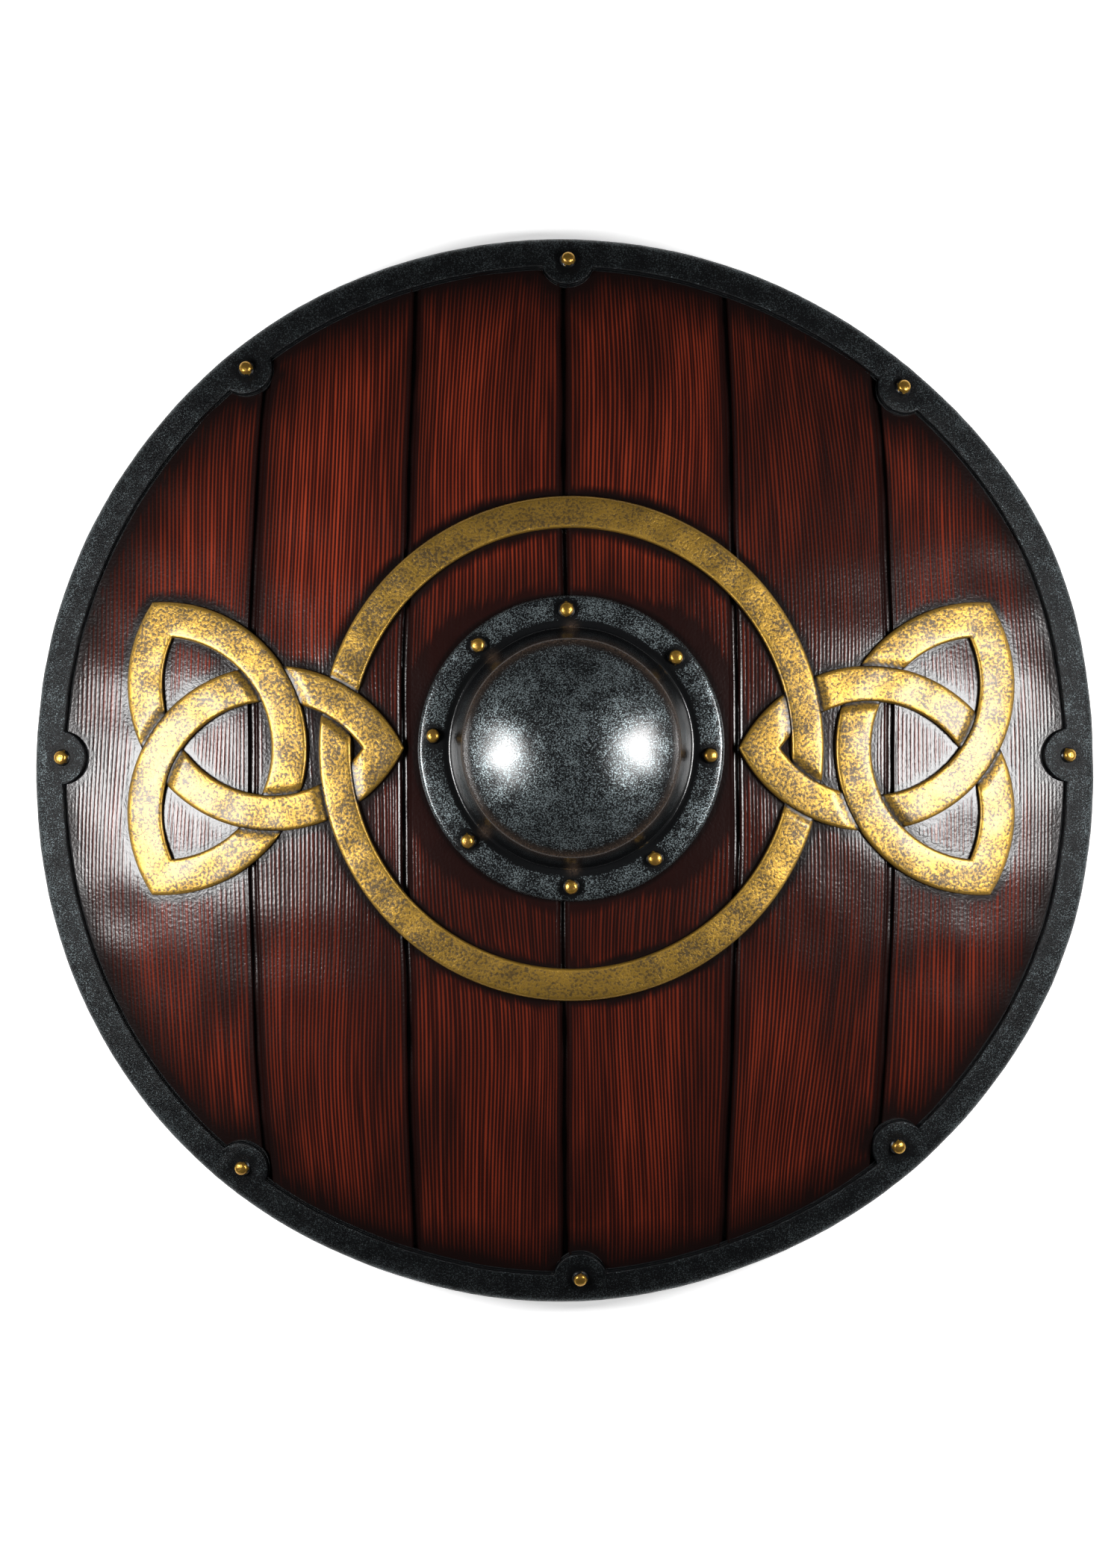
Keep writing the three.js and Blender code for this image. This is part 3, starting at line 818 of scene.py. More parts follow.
def back_skin(first):
    """The board's back, a smooth sheet from the hand hole to the edge: its points, its faces and the
    indices along its outer edge and its hole, all counted from the first."""
    rings, sides = 18, 180
    ring = np.linspace(0, 1, rings)[:, None]
    angle = np.linspace(0, 2 * np.pi, sides, endpoint=False)[None, :]
    radius = mm(sizes().hand_hole) * (1 - ring) + (outline_radius(angle) - BOARD_INSET) * ring
    x = BOSS_OFFSET[0] * (1 - ring) + radius * np.cos(angle)
    y = BOSS_OFFSET[1] * (1 - ring) + radius * np.sin(angle)
    z = face_height(x, y) - mm(sizes().board_thickness) + 0.25 * waves(41, 40.0, x, y)
    points = np.stack([x, y, z], axis=2).reshape(-1, 3)
    faces = (np.array(grid_faces(rings, sides, wrap_columns=True)) + first).tolist()
    edge = [first + (rings - 1) * sides + k for k in range(sides)]
    return points, faces, edge, [first + k for k in range(sides)]


# ---- Rim ----
# The rim's section: where a point is measured from and how far from there, the surface that its
# height counts from and that height, how much silver it takes and how much of the hand-made unevenness.
RIM_SECTION = [
    ("inner", -1.9, "face", -0.7, 0.0, 0.0),
    ("inner", -1.6, "face", 0.05, 0.1, 0.3),
    ("inner", -1.2, "face", 0.34, 0.5, 0.5),
    ("inner", -0.8, "face", 0.30, 0.4, 0.5),
    ("inner", -0.4, "face", 0.05, 0.0, 0.3),
    ("inner", -0.1, "face", 0.25, 0.0, 0.2),
    ("inner", 0.10, "face", 1.30, 0.2, 0.3),
    ("inner", 0.25, "face", 2.80, 0.4, 0.6),
    ("inner", 0.60, "face", 3.35, 0.8, 0.9),
    ("inner", 1.3, "face", 3.58, 0.9, 1.0),
    ("inner", 4.5, "face", 3.55, 0.9, 1.0),
    ("middle", 0.0, "face", 3.50, 0.9, 1.0),
    ("outer", 5.5, "face", 3.55, 0.95, 1.0),
    ("outer", 3.0, "face", 3.50, 1.0, 1.0),
    ("outer", 1.6, "face", 3.15, 1.1, 0.9),
    ("outer", 0.7, "face", 2.35, 1.1, 0.8),
    ("outer", 0.25, "face", 1.1, 0.8, 0.8),
    ("outer", 0.1, "face", -1.5, 0.6, 0.8),
    ("outer", 0.0, "floor", 11.0, 0.5, 0.8),
    ("outer", 0.0, "floor", 6.0, 0.5, 0.8),
    ("outer", 0.2, "floor", 2.6, 0.5, 0.5),
    ("outer", 0.8, "floor", 0.8, 0.3, 0.0),
    ("outer", 2.0, "floor", 0.0, 0.1, 0.0),
    ("outer", 10.6, "floor", 0.0, 0.0, 0.0),
    ("outer", 11.6, "floor", 0.8, 0.0, 0.0),
    ("outer", 12.0, "floor", 2.2, 0.0, 0.0),
    ("outer", 12.0, "back", -0.2, 0.0, 0.0),
    ("outer", 4.6, "back", -0.2, 0.0, 0.0),
    ("outer", 4.6, "face", 0.2, 0.0, 0.0),
    ("inner", -1.0, "face", -0.9, 0.0, 0.0),
]
OUTLINE_TRIM = 0.5  # keeps the rim's unevenness inside the outline
LOBE_POINTS = 35  # round the inner edge of a lobe
RIM_STEP = math.radians(0.62)  # between two sections on the plain rim


def rim_angles():
    """Angles round the rim, close together on the lobes."""
    lobe = mm(sizes().lobe_radius)
    studs = sorted((math.atan2(y, x) % (2 * math.pi), math.hypot(x, y)) for x, y in lobe_middles())
    fans = []
    for stud, circle in studs:
        reach = math.acos((circle - (outline_radius(stud) - mm(sizes().rim_width))) / lobe)
        turns = np.linspace(-reach, reach, LOBE_POINTS)
        fans.append(stud + np.arctan2(lobe * np.sin(turns), circle - lobe * np.cos(turns)))
    angles = []
    for k, fan in enumerate(fans):
        following = fans[(k + 1) % 8][0] + (2 * math.pi if k == 7 else 0)
        steps = round((following - fan[-1]) / RIM_STEP)
        angles.extend(fan)
        angles.extend(np.linspace(fan[-1], following, steps + 1)[1:-1])
    return np.array(angles)


def rim_inner(angle):
    """The radius of the band's inner edge: its width in from the outline, or the round of a lobe."""
    lobe = mm(sizes().lobe_radius)
    inner = outline_radius(angle) - mm(sizes().rim_width)
    for middle in lobe_middles():
        turn = angle - math.atan2(middle[1], middle[0])
        circle = math.hypot(*middle)
        across = circle * np.sin(turn)
        root = np.sqrt(np.maximum(lobe**2 - across**2, 0))
        facing = (np.cos(turn) > 0) & (np.abs(across) < lobe)
        inner = np.where(facing, np.minimum(inner, circle * np.cos(turn) - root), inner)
    return inner


def make_rim():
    angle = rim_angles()
    outer = outline_radius(angle) - OUTLINE_TRIM
    inner = rim_inner(angle)
    circle = (SHIELD_R * np.cos(angle), SHIELD_R * np.sin(angle))
    sway = 0.28 * waves(51, 38.0, *circle) + 0.16 * waves(52, 11.0, *circle)
    lift = 0.16 * waves(53, 24.0, *circle) + 0.07 * waves(54, 7.0, *circle)
    rings = []
    for start, off, base, height, _, uneven in RIM_SECTION:
        radius = {"inner": inner + off, "middle": (inner + outer) / 2, "outer": outer - off}[start]
        radius = radius + sway * uneven * (0.6 if start == "inner" else 0.35)
        x, y = radius * np.cos(angle), radius * np.sin(angle)
        face = face_height(x, y)
        level = {"face": face, "back": face - mm(sizes().board_thickness), "floor": 0 * x}[base]
        rings.append(np.stack([x, y, level + height + lift * uneven * (base == "face")], axis=1))
    points = np.stack(rings, axis=1).reshape(-1, 3)
    silver = np.tile([flake for *_, flake, _ in RIM_SECTION], len(angle))
    halo = smooth(4.5, 8.5, stud_gap(points[:, 0], points[:, 1], RIM_STUD_XY))
    attributes = {"flake": silver * (0.35 + 0.65 * halo), "brown": np.zeros(len(points))}
    faces = grid_faces(len(angle), len(RIM_SECTION), wrap_rows=True, wrap_columns=True)
    paint = iron_paint("rim_paint", coverage=-0.012, bright=0.23, gloss=0.32, peel=0.0009, shine=0.12)
    add_piece("rim_skin", points, faces, [paint], ["rim"], attributes, sharp=70)


# ---- Boss ----
BOSS_SIDES = 288
BROWN_SPOTS = [90, 131, 224, 271]  # directions of small stray spots of brown at the dome's foot


def cap_profile(radius, base, rise, shares):
    """(radius, height) of a cap of a sphere, at shares of its radius."""
    sphere = (radius**2 + rise**2) / (2 * rise)
    return [(radius * q, base + rise - sphere + math.sqrt(sphere**2 - (radius * q) ** 2)) for q in shares]


def boss_section():
    """(radius, height over the face) from the pole inside, under the flange and over the dome to the
    pole outside, and the number of points that stay hidden."""
    s = sizes()
    foot, shoulder, high = mm(s.dome_foot), mm(s.dome_shoulder), mm(s.shoulder_height)
    rise, hole, top = mm(s.dome_rise), mm(s.hand_hole), GLUE_GAP + mm(s.flange)
    shares = np.linspace(0, 1, 20)
    inside = cap_profile(shoulder - mm(s.dome_wall), high - 3, rise - 3, [*shares[::2], 1.0])
    under = [(hole - 1.2, 6.0), (hole, 0.2), (hole + 1.0, -0.2), (BOSS_R - 0.6, -0.3)]
    flange = [
        (BOSS_R + 0.2, 0.25),
        (BOSS_R - 0.05, 1.3),
        (BOSS_R - 0.35, 2.5),
        (BOSS_R - 1.0, top - 0.25),
        (BOSS_R - 2.0, top),
        (BOSS_R - 5.0, top),
        (BOSS_R - 9.0, top),
    ]
    groove = [
        (foot + 4.5, top - 0.05),
        (foot + 2.2, top - 0.2),
        (foot + 0.9, top - 0.45),
        (foot, top - 0.3),
    ]
    wall = [
        (foot - 0.7, top + 0.8),
        (foot - 1.6, top + 3.0),
        (foot - 2.9, top + 6.2),
        (foot - 4.4, top + 9.4),
        (foot - 6.0, high - 1.9),
        (shoulder + 0.9, high - 0.6),
        (shoulder, high + 0.25),
    ]
    outside = cap_profile(shoulder - 1.2, high + 0.75, rise - 0.95, shares[::-1])
    return inside + under + flange + groove + wall + outside, len(inside + under)


def make_boss():
    foot, shoulder = mm(sizes().dome_foot), mm(sizes().dome_shoulder)
    section, hidden = boss_section()
    radius, height = np.array(section).T[:, None, :]
    angle = np.linspace(0, 2 * np.pi, BOSS_SIDES, endpoint=False)[:, None]
    sway = 0.30 * waves(61, 55.0, 80 * np.cos(angle), 80 * np.sin(angle)) * (radius > 20)
    x = BOSS_OFFSET[0] + (radius + sway * 0.5) * np.cos(angle)
    y = BOSS_OFFSET[1] + (radius + sway * 0.5) * np.sin(angle)
    shell = np.arange(len(section))[None, :] >= hidden
    uneven = shell * 0.14 * waves(62, 30.0, x, y) * smooth(BOSS_R, BOSS_R - 4, radius)
    points = np.stack([x, y, face_height(x, y) + height + uneven], axis=2).reshape(-1, 3)
    groove = smooth(foot + 5.0, foot + 1.0, radius) * smooth(shoulder - 6.0, shoulder + 5.0, radius)
    halo = smooth(4.5, 8.0, stud_gap(x, y, BOSS_STUD_XY))
    flake = (1 - 0.95 * groove) * (0.4 + 0.6 * halo) * shell
    brown = np.exp(-(((radius - shoulder + 0.2) / 1.5) ** 2)) * np.broadcast_to(shell, x.shape)
    for degrees in BROWN_SPOTS:
        turn = math.radians(degrees)
        spot = BOSS_OFFSET + (foot - 1.0) * np.array([math.cos(turn), math.sin(turn)])
        dot = 1.4 * np.exp(-((x - spot[0]) ** 2 + (y - spot[1]) ** 2) / 3.2**2)
        brown = np.maximum(brown, dot * shell)
    attributes = {"flake": flake.ravel(), "brown": brown.ravel()}
    faces = grid_faces(len(angle), len(section), wrap_rows=True, flip=True)
    paint = iron_paint("boss_paint", coverage=-0.020, bright=0.85, gloss=0.215, peel=0.00024, shine=0.75)
    boss = add_piece("boss_skin", points, faces, [paint], ["boss"], attributes, sharp=70)
    close_poles(boss.data)


def close_poles(mesh):
    """Joins the points that lie on each other at the poles."""
    work = bmesh.new()
    work.from_mesh(mesh)
    bmesh.ops.remove_doubles(work, verts=work.verts, dist=1e-7)
    work.to_mesh(mesh)
    work.free()


# ---- Knotwork ----
# Across half a strap: half widths from its middle, and shares of its height.
STRAP_SECTION = [
    (-1.0, 0.0),
    (-1.0, 0.50),
    (-0.98, 0.72),
    (-0.93, 0.88),
    (-0.86, 0.96),
    (-0.75, 0.99),
    (-0.45, 1.01),
    (-0.15, 1.02),
]
STRAP_FOOT = -0.8  # height of a strap's underside over the face
STRAP_STEP = 1.0  # between two sections along a strap
CROSSING_DIP = 1.8  # by which a strap goes down where it runs under another


def dip(gap):
    """How far a strap goes down at a distance from the strap that runs over it."""
    return CROSSING_DIP * smooth(5.0, 0.5, gap)


def near_crossing(side, under, x, y):
    """1 round the place where one arc of a trefoil passes under the arc before it, 0 at the tip that
    they share."""
    middle, arcs = trefoil_arcs(side)
    way = arcs[under][0] + arcs[(under - 1) % 3][0] - 2 * middle
    way = way / np.linalg.norm(way)
    along = (x - middle[0]) * way[0] + (y - middle[1]) * way[1]
    return smooth(5.0, -5.0, along)


def strap_points(middle, angles_at, radius, width, low_at):
    """The points of a strap along an arc, sections down and each section across; angles_at gives the
    arc's angles for a radius, and low_at how far the strap dips at a place."""
    section = STRAP_SECTION + [(-across, up) for across, up in STRAP_SECTION[::-1]]
    rings = []
    for across, up in section:
        r = radius + across * width / 2
        angle = angles_at(r)
        x, y = middle[0] + r * np.cos(angle), middle[1] + r * np.sin(angle)
        height = STRAP_FOOT + (mm(sizes().relief) + 0.3 - STRAP_FOOT) * up - low_at(x, y) * up
        height = height + 0.12 * waves(71, 22.0, x, y) * up
        rings.append(np.stack([x, y, face_height(x, y) + height], axis=1))
    return np.stack(rings, axis=1)


def strap_solid(name, points, closed):
    """A strap as a closed mesh of its own, before the straps are joined."""
    rows, columns = points.shape[:2]
    faces = grid_faces(rows, columns, wrap_rows=closed, wrap_columns=True)
    if not closed:
        faces.append(list(reversed(range(columns))))
        faces.append([(rows - 1) * columns + k for k in range(columns)])
    mesh = bpy.data.meshes.new(name)
    mesh.from_pydata(place(points.reshape(-1, 3)).tolist(), [], faces)
    mesh.update()
    solid = bpy.data.objects.new(name, mesh)
    bpy.context.scene.collection.objects.link(solid)
    return solid


def ring_strap():
    """The ring round the boss, which dips under the last arc of each trefoil."""
    radius = mm(sizes().ring_radius)
    angles = np.linspace(0, 2 * np.pi, round(2 * np.pi * radius / STRAP_STEP), endpoint=False)

    def low(x, y):
        return dip(np.minimum(trefoil_gaps(x, y, 1)[2], trefoil_gaps(x, y, -1)[2]))

    points = strap_points(BOSS_OFFSET, lambda r: angles, radius, mm(sizes().ring_width), low)
    return strap_solid("knot_ring", points, True)


def half_arc(side, k, end):
    """Half of one arc of a trefoil, from just past its middle to its tip, cut along the mitre."""
    radius = mm(sizes().trefoil_radius)
    middle, arcs = trefoil_arcs(side)
    centre, direction = arcs[k]
    tip_way = direction - end * math.radians(60)
    axis = np.array([math.cos(tip_way), math.sin(tip_way)])

    def angles_at(r):
        away = centre - middle
        along = away @ axis
        reach = along + math.sqrt(max(r**2 - (away @ away - along**2), 0))
        tip = middle + reach * axis - centre
        start = direction + math.pi
        turn = (math.atan2(tip[1], tip[0]) - start + math.pi) % (2 * math.pi) - math.pi
        overlap = -0.012 * np.sign(turn)
        past = 0.0015 * np.sign(turn)
        count = round(radius * math.pi / 2 / STRAP_STEP)
        return start + overlap + (turn + past - overlap) * np.linspace(0, 1, count)

    def low(x, y):
        dipped = dip(trefoil_gaps(x, y, side)[(k - 1) % 3]) * near_crossing(side, k, x, y)
        return np.maximum(dipped, dip(ring_gap(x, y))) if k == 0 else dipped

    points = strap_points(centre, angles_at, radius, mm(sizes().trefoil_width), low)
    turns = angles_at(radius)
    if turns[-1] < turns[0]:
        points = points[::-1]
    return strap_solid(f"knot_arc_{side}_{k}_{end}", points, False)


def crossing_steps(x, y):
    """1 along the lines where a strap goes down under another, 0 a little way from them."""
    lines = np.zeros(x.shape)
    ring = ring_gap(x, y)
    for side in (1, -1):
        gaps = trefoil_gaps(x, y, side)
        pairs = [(gaps[(k - 1) % 3], gaps[k], near_crossing(side, k, x, y)) for k in range(3)]
        pairs += [(ring, gaps[0], 1.0), (gaps[2], ring, 1.0)]
        for over, under, near in pairs:
            line = smooth(2.0, 0.7, over) * smooth(-0.9, -0.2, over) * (under < 0.0) * near
            lines = np.maximum(lines, line)
    return lines


def joined(solids):
    """One mesh of all the solids, which are removed."""
    first = solids[0]
    for other in solids[1:]:
        join = first.modifiers.new("join", "BOOLEAN")
        join.operation = "UNION"
        join.solver = "MANIFOLD"
        join.object = other
    graph = bpy.context.evaluated_depsgraph_get()
    mesh = bpy.data.meshes.new_from_object(first.evaluated_get(graph))
    for solid in solids:
        bpy.data.objects.remove(solid)
    return mesh


def make_emblem():
    arcs = [half_arc(side, k, end) for side in (1, -1) for k in range(3) for end in (1, -1)]
    mesh = joined([ring_strap(), *arcs])
    mesh.name = "knotwork"
    places = np.zeros(len(mesh.vertices) * 3)
    mesh.vertices.foreach_get("co", places)
    x, y, z = (places.reshape(-1, 3) / MM - np.array([*DISH_MIDDLE, 0.0])).T
    attributes = {
        "edge": smooth(-2.6, -0.8, knot_gap(x, y)),
        "top": np.clip((z - face_height(x, y)) / 2.1, 0, 1),
        "step": crossing_steps(x, y),
    }
    for key, values in attributes.items():
        mesh.attributes.new(key, "FLOAT", "POINT").data.foreach_set("value", values.astype(np.float32))
    mesh.materials.clear()
    finish_piece("knotwork", mesh, [gold_paint()], ["emblem"], sharp=60)


# ---- Studs ----
STUD_SIDES = 28
STUD_ROWS = 14
STUD_SINK = 0.5  # by which a stud's foot stands under the surface that it sits on
STUD_EXTRA = 0.0002  # added to a stud's height, in metres, because its foot is sunk
STUD_TILT = 0.10  # the most that a stud leans from square to the face, as a slope
STUD_SMALLEST = 0.92  # share of the stated size; the largest stud has all of it
STUD_INPUTS = {"Points": "Geometry", "Skirt Radius": "Float", "Height": "Float", "Seed": "Int"}


def stud_tree(material):
    """Turns a stud from two curves and sets one, a little uneven, on every point."""
    cap = sizes().stud_cap / sizes().stud_skirt
    group = bpy.data.node_groups.new("studs", "GeometryNodeTree")
    for name, kind in STUD_INPUTS.items():
        group.interface.new_socket(name, in_out="INPUT", socket_type=f"NodeSocket{kind}")
    group.interface.new_socket("Studs", in_out="OUTPUT", socket_type="NodeSocketGeometry")
    tree = Tree(group)
    given = {name: tree.node("NodeGroupInput", output=name) for name in STUD_INPUTS}
    cells = {"Size X": 1.0, "Size Y": 1.0, "Vertices X": STUD_SIDES + 1, "Vertices Y": STUD_ROWS}
    grid = tree.node("GeometryNodeMeshGrid", None, cells)
    spot = tree.node("GeometryNodeInputPosition")
    across = tree.node("ShaderNodeSeparateXYZ", None, {0: spot}, "X")
    up = tree.node("ShaderNodeSeparateXYZ", None, {0: spot}, "Y") + 0.5
    turn = (across + 0.5) * (2 * math.pi)
    shares = [0, 0.08, 0.22, 0.34, 0.52, 0.66, 0.79, 0.90, 1]
    wide = [0, 1.0, 0.97, cap + 0.02, cap, cap * 0.94, cap * 0.78, cap * 0.48, 0]
    tall = [0, 0, 0.22, 0.34, 0.60, 0.76, 0.89, 0.97, 1]
    wide_curve = {"curve": list(zip(shares, wide))}
    tall_curve = {"curve": list(zip(shares, tall))}
    radius = tree.node("ShaderNodeFloatCurve", wide_curve, {"Value": up}) * given["Skirt Radius"]
    height = tree.node("ShaderNodeFloatCurve", tall_curve, {"Value": up}) * given["Height"]
    x = radius * turn.math("COSINE", turn)
    y = radius * turn.math("SINE", turn)
    turned = tree.node("ShaderNodeCombineXYZ", None, {0: x, 1: y, 2: height})
    stored = {"Geometry": grid, "Name": "cap", "Value": height / given["Height"]}
    per_point = {"data_type": "FLOAT", "domain": "POINT"}
    form = tree.node("GeometryNodeStoreNamedAttribute", per_point, stored)
    form = tree.node("GeometryNodeSetPosition", None, {"Geometry": form, "Position": turned})
    form = tree.node("GeometryNodeMergeByDistance", None, {"Geometry": form, "Distance": 0.00002})
    form = tree.node("GeometryNodeSetShadeSmooth", None, {"Geometry": form})
    vector = {"data_type": "FLOAT_VECTOR"}
    square = tree.node("GeometryNodeInputNamedAttribute", vector, {"Name": "stud_way"})
    tilts = {"Min": (-STUD_TILT, -STUD_TILT, 0.0), "Max": (STUD_TILT, STUD_TILT, 0.0)}
    tilt = tree.node("FunctionNodeRandomValue", vector, {**tilts, "Seed": given["Seed"]})
    way = tree.node("ShaderNodeVectorMath", {"operation": "ADD"}, {0: square, 1: tilt})
    align = tree.node("FunctionNodeAlignRotationToVector", {"axis": "Z"}, {"Vector": way})
    scales = {"Min": (STUD_SMALLEST,) * 3, "Max": (1.0,) * 3}
    scale = tree.node("FunctionNodeRandomValue", vector, {**scales, "Seed": given["Seed"] + 3})
    placed = {"Points": given["Points"], "Instance": form, "Rotation": align, "Scale": scale}
    studs = tree.node("GeometryNodeInstanceOnPoints", None, placed)
    studs = tree.node("GeometryNodeRealizeInstances", None, {"Geometry": studs})
    studs = tree.node("GeometryNodeSetMaterial", None, {"Geometry": studs, "Material": material})
    tree.node("NodeGroupOutput", None, {0: studs})
    return group


def make_studs(name, nodes, places, base, seed, material):
    """Studs on a surface that lies base millimetres over the face, about square to it."""
    s = sizes()
    feet = np.column_stack([places, face_height(places[:, 0], places[:, 1]) + base - STUD_SINK])
    slope = 2 * mm(s.dish_depth) / SHIELD_R**2
    way = np.column_stack([slope * places, np.ones(len(places))])
    way /= np.linalg.norm(way, axis=1)[:, None]
    points = bpy.data.meshes.new(name + "_feet")
    points.from_pydata(place(feet).tolist(), [], [])
    points.attributes.new("stud_way", "FLOAT_VECTOR", "POINT").data.foreach_set("vector", way.ravel())
    holder = bpy.data.objects.new(name + "_feet", points)
    bpy.context.scene.collection.objects.link(holder)
    group = stud_tree(material)
    modifier = holder.modifiers.new("studs", "NODES")
    modifier.node_group = group
    values = {"Skirt Radius": s.stud_skirt, "Height": s.stud_height + STUD_EXTRA, "Seed": seed}
    for item in group.interface.items_tree:
        if item.in_out == "INPUT" and item.name in values:
            modifier[item.identifier] = values[item.name]
    graph = bpy.context.evaluated_depsgraph_get()
    mesh = bpy.data.meshes.new_from_object(holder.evaluated_get(graph))
    mesh.name = name
    mesh.materials.clear()
    bpy.data.objects.remove(holder)
    finish_piece(name, mesh, [material], nodes, sharp=60)


# ---- Grip ----
GRIP_ROWS = 90
GRIP_SIDES = 48
BAR_WIDTH = 28.0
BAR_THICKNESS = 24.0
PAD_THICKNESS = 13.0
PAD_TRIM = 0.6  # by which a pad is narrower than its box
END_START = 0.955  # share of the half length where an end starts to round off
END_SHARE = 0.045  # share of the half length that it takes


def make_grip():
    """A rounded bar across the hand hole that turns into a flatter pad at each end."""
    low, high = box_mm("grip")
    centre_x, centre_y = box_middle("grip")[:2] - DISH_MIDDLE
    half_length = (high - low)[0] / 2
    pad_width = (high - low)[1]
    share = np.sin(np.linspace(-math.pi / 2, math.pi / 2, GRIP_ROWS))[:, None]
    angle = np.linspace(0, 2 * np.pi, GRIP_SIDES, endpoint=False)[None, :]
    pad = smooth(0.52, 0.70, np.abs(share))
    end = np.sqrt(np.clip(1 - (np.abs(share) - END_START).clip(0) ** 2 / END_SHARE**2, 0.02, 1))
    swell = 1 + 0.04 * np.cos(share * 3.0 * math.pi) * (1 - pad)
    width = (BAR_WIDTH * swell * (1 - pad) + (pad_width - PAD_TRIM) * pad) * (0.8 + 0.2 * end)
    height = (BAR_THICKNESS * swell * (1 - pad) + PAD_THICKNESS * pad) * (0.25 + 0.75 * end)
    squareness = 1 - 0.45 * pad
    across = np.sign(np.cos(angle)) * np.abs(np.cos(angle)) ** squareness
    up = np.sign(np.sin(angle)) * np.abs(np.sin(angle)) ** squareness
    x = centre_x + half_length * share * 0.998 + 0 * angle
    y = centre_y + width / 2 * across
    away = BOSS_OFFSET[0] + np.abs(x - BOSS_OFFSET[0])
    back = face_height(away, BOSS_OFFSET[1] + pad_width / 2) - mm(sizes().board_thickness)
    z = back - 1.0 + 0.8 * pad + height / 2 * (up - 1)
    points = np.stack([x, y, z], axis=2).reshape(-1, 3)
    faces = grid_faces(GRIP_ROWS, GRIP_SIDES, wrap_columns=True)
    faces.append(list(range(GRIP_SIDES))[::-1])
    faces.append([(GRIP_ROWS - 1) * GRIP_SIDES + k for k in range(GRIP_SIDES)])
    add_piece("grip_bar", points, faces, [back_paint()], ["grip"], sharp=60)


# ---- Stage ----
FLOOR_REACH = 4.0  # from the middle to the floor's edge, in metres
LIGHT_AIM = (0.0, 0.0, 0.05)  # the place that the softboxes are turned to
LIGHT_SHIFT = 0.03  # of the left softbox down the face and of the right one up it
FILL_COLOUR = (0.95, 0.97, 1.0, 1.0)
RIM_LEVEL = 0.02  # height over the floor at which the frame's height is measured
CAMERA_XY = (-0.0027, -0.0076)


def add_softbox(name, place_xyz):
    """A rectangle of light that is turned to the shield."""
    stage = bpy.context.scene.stage_settings
    light = bpy.data.lights.new(name, "AREA")
    light.shape = "RECTANGLE"
    light.size = stage.box_length
    light.size_y = stage.box_width
    light.energy = stage.box_power
    lamp = bpy.data.objects.new(name, light)
    lamp.location = place_xyz
    lamp.rotation_euler = (Vector(LIGHT_AIM) - Vector(place_xyz)).to_track_quat("-Z", "Y").to_euler()
    bpy.context.scene.collection.objects.link(lamp)


def add_floor():
    mesh = bpy.data.meshes.new("floor")
    corners = [(-1, -1, 0), (1, -1, 0), (1, 1, 0), (-1, 1, 0)]
    mesh.from_pydata([(FLOOR_REACH * x, FLOOR_REACH * y, z) for x, y, z in corners], [], [(0, 1, 2, 3)])
    mesh.materials.append(floor_paint())
    floor = bpy.data.objects.new("floor", mesh)
    bpy.context.scene.collection.objects.link(floor)


def add_camera():
    """A camera that looks straight down on the face."""
    scene = bpy.context.scene
    stage = scene.stage_settings
    camera = bpy.data.cameras.new("camera")
    camera.sensor_fit = "VERTICAL"
    camera.angle = 2 * math.atan(stage.frame_height / 2 / (stage.camera_distance - RIM_LEVEL))
    eye = bpy.data.objects.new("camera", camera)
    eye.location = (*CAMERA_XY, stage.camera_distance)
    scene.collection.objects.link(eye)
    scene.camera = eye


def make_stage():
    """The floor, an even fill, a softbox on the left and on the right, and the camera."""
    scene = bpy.context.scene
    stage = scene.stage_settings
    add_floor()
    world = bpy.data.worlds.new("studio")
    world.use_nodes = True
    background = world.node_tree.nodes["Background"]
    background.inputs["Color"].default_value = FILL_COLOUR
    background.inputs["Strength"].default_value = stage.fill
    scene.world = world
    add_softbox("softbox_left", (-stage.box_distance, -LIGHT_SHIFT, stage.box_height))
    add_softbox("softbox_right", (stage.box_distance, LIGHT_SHIFT, stage.box_height))
    add_camera()
    scene.view_settings.view_transform = "Standard"


# ---- Operators ----
class SHIELD_OT_stage(bpy.types.Operator):
    """Set up the floor, the softboxes and the camera"""

    bl_idname = "shield.stage"
    bl_label = "Stage"

    def execute(self, context):
        make_stage()
        return {"FINISHED"}


class SHIELD_OT_board(bpy.types.Operator):
    """Build the dished board with its grained planks"""

    bl_idname = "shield.board"
    bl_label = "Board"

    def execute(self, context):
        make_board()
        return {"FINISHED"}


class SHIELD_OT_rim(bpy.types.Operator):
    """Build the lobed rim"""

    bl_idname = "shield.rim"
    bl_label = "Rim"

    def execute(self, context):
        make_rim()
        return {"FINISHED"}


class SHIELD_OT_boss(bpy.types.Operator):
    """Build the hollow boss"""

    bl_idname = "shield.boss"
    bl_label = "Boss"

    def execute(self, context):
        make_boss()
        return {"FINISHED"}


class SHIELD_OT_knotwork(bpy.types.Operator):
    """Build the gold knotwork"""

    bl_idname = "shield.knotwork"
    bl_label = "Knotwork"

    def execute(self, context):
        make_emblem()
        return {"FINISHED"}


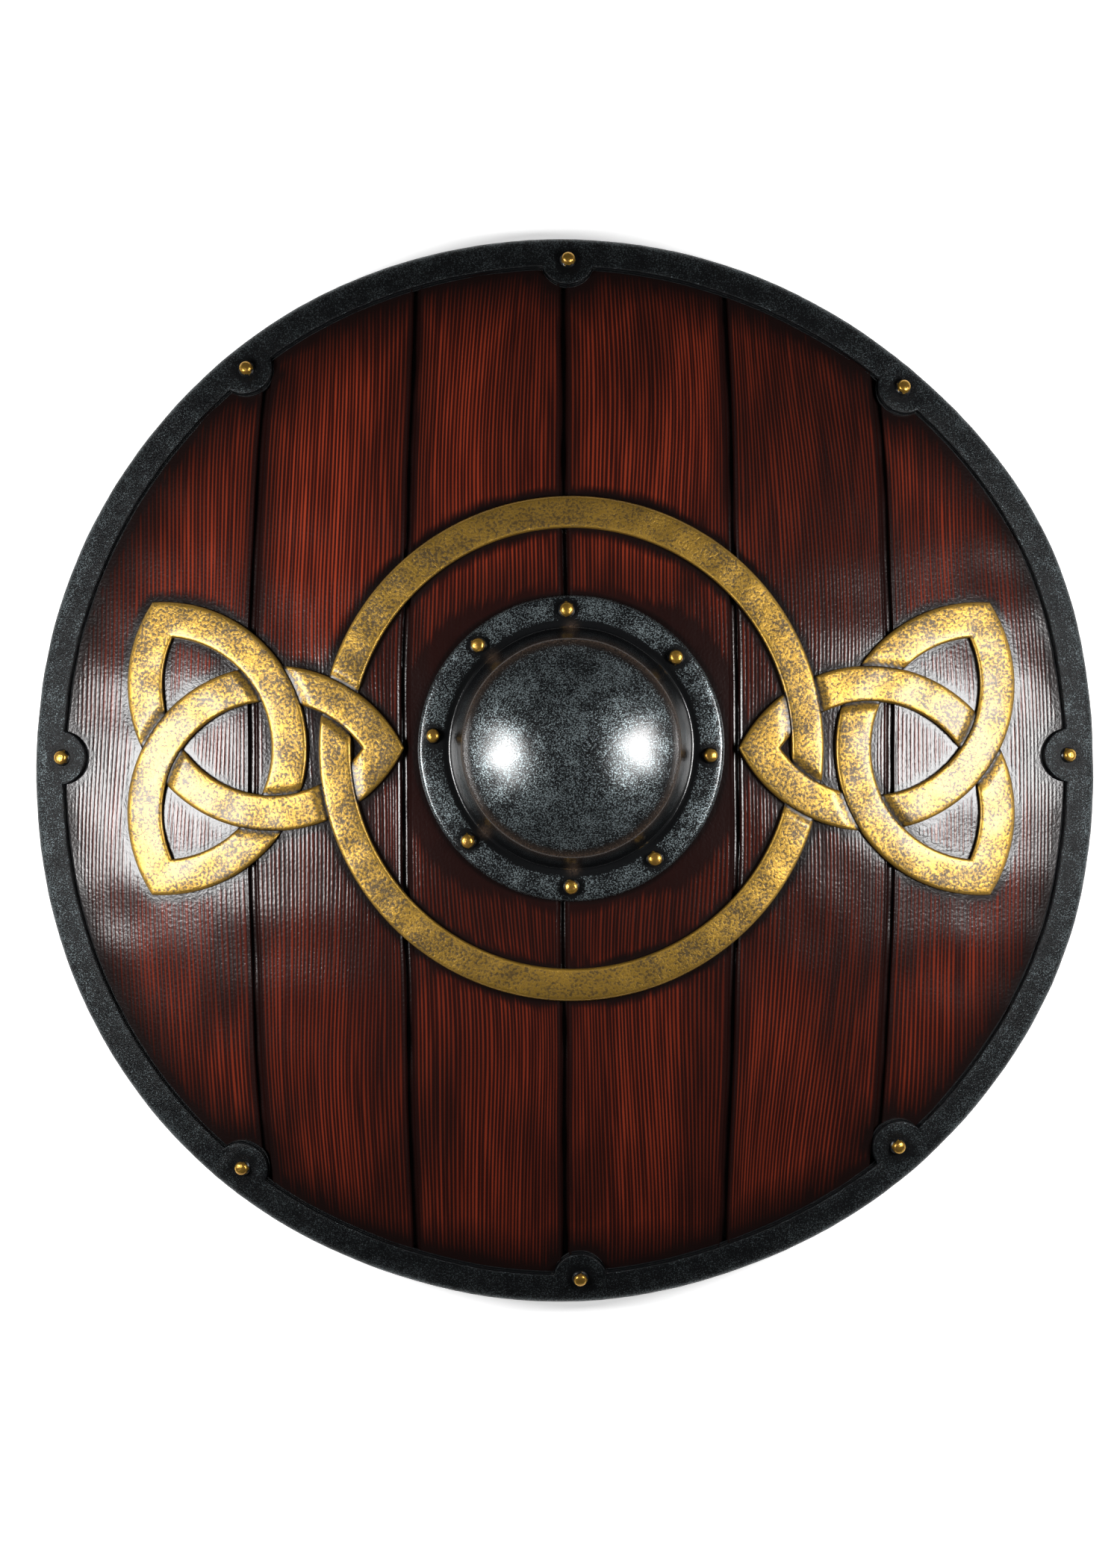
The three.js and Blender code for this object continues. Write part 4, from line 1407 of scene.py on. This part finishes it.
class SHIELD_OT_studs(bpy.types.Operator):
    """Build the studs of the rim and of the boss"""

    bl_idname = "shield.studs"
    bl_label = "Studs"

    def execute(self, context):
        material = stud_paint()
        flange_top = GLUE_GAP + mm(sizes().flange)
        make_studs("rim_studs", RIM_STUDS, RIM_STUD_XY, mm(sizes().rim_lip), 7, material)
        make_studs("boss_studs", BOSS_STUDS, BOSS_STUD_XY, flange_top, 9, material)
        return {"FINISHED"}


class SHIELD_OT_grip(bpy.types.Operator):
    """Build the grip bar"""

    bl_idname = "shield.grip"
    bl_label = "Grip"

    def execute(self, context):
        make_grip()
        return {"FINISHED"}


class SHIELD_PT_panel(bpy.types.Panel):
    """Sizes, colours and the pieces of the shield"""

    bl_idname = "SHIELD_PT_panel"
    bl_label = "Round shield"
    bl_space_type = "VIEW_3D"
    bl_region_type = "UI"
    bl_category = "Shield"

    def draw(self, context):
        scene = context.scene
        for group in (scene.shield_sizes, scene.shield_colours, scene.stage_settings):
            box = self.layout.box()
            for key in type(group).__annotations__:
                box.prop(group, key)
        for operator in OPERATORS:
            self.layout.operator(operator.bl_idname)


PROPERTY_GROUPS = {
    "shield_sizes": ShieldSizes,
    "shield_colours": ShieldColours,
    "stage_settings": StageSettings,
}
OPERATORS = (
    SHIELD_OT_stage,
    SHIELD_OT_board,
    SHIELD_OT_rim,
    SHIELD_OT_boss,
    SHIELD_OT_knotwork,
    SHIELD_OT_studs,
    SHIELD_OT_grip,
)


def register():
    for name, group in PROPERTY_GROUPS.items():
        bpy.utils.register_class(group)
        setattr(bpy.types.Scene, name, bpy.props.PointerProperty(type=group))
    for item in (*OPERATORS, SHIELD_PT_panel):
        bpy.utils.register_class(item)


def unregister():
    for item in reversed((*OPERATORS, SHIELD_PT_panel)):
        bpy.utils.unregister_class(item)
    for name, group in PROPERTY_GROUPS.items():
        delattr(bpy.types.Scene, name)
        bpy.utils.unregister_class(group)


def main():
    register()
    bpy.ops.shield.stage()
    bpy.ops.shield.board()
    bpy.ops.shield.rim()
    bpy.ops.shield.boss()
    bpy.ops.shield.knotwork()
    bpy.ops.shield.studs()
    bpy.ops.shield.grip()


if __name__ == "__main__":
    main()
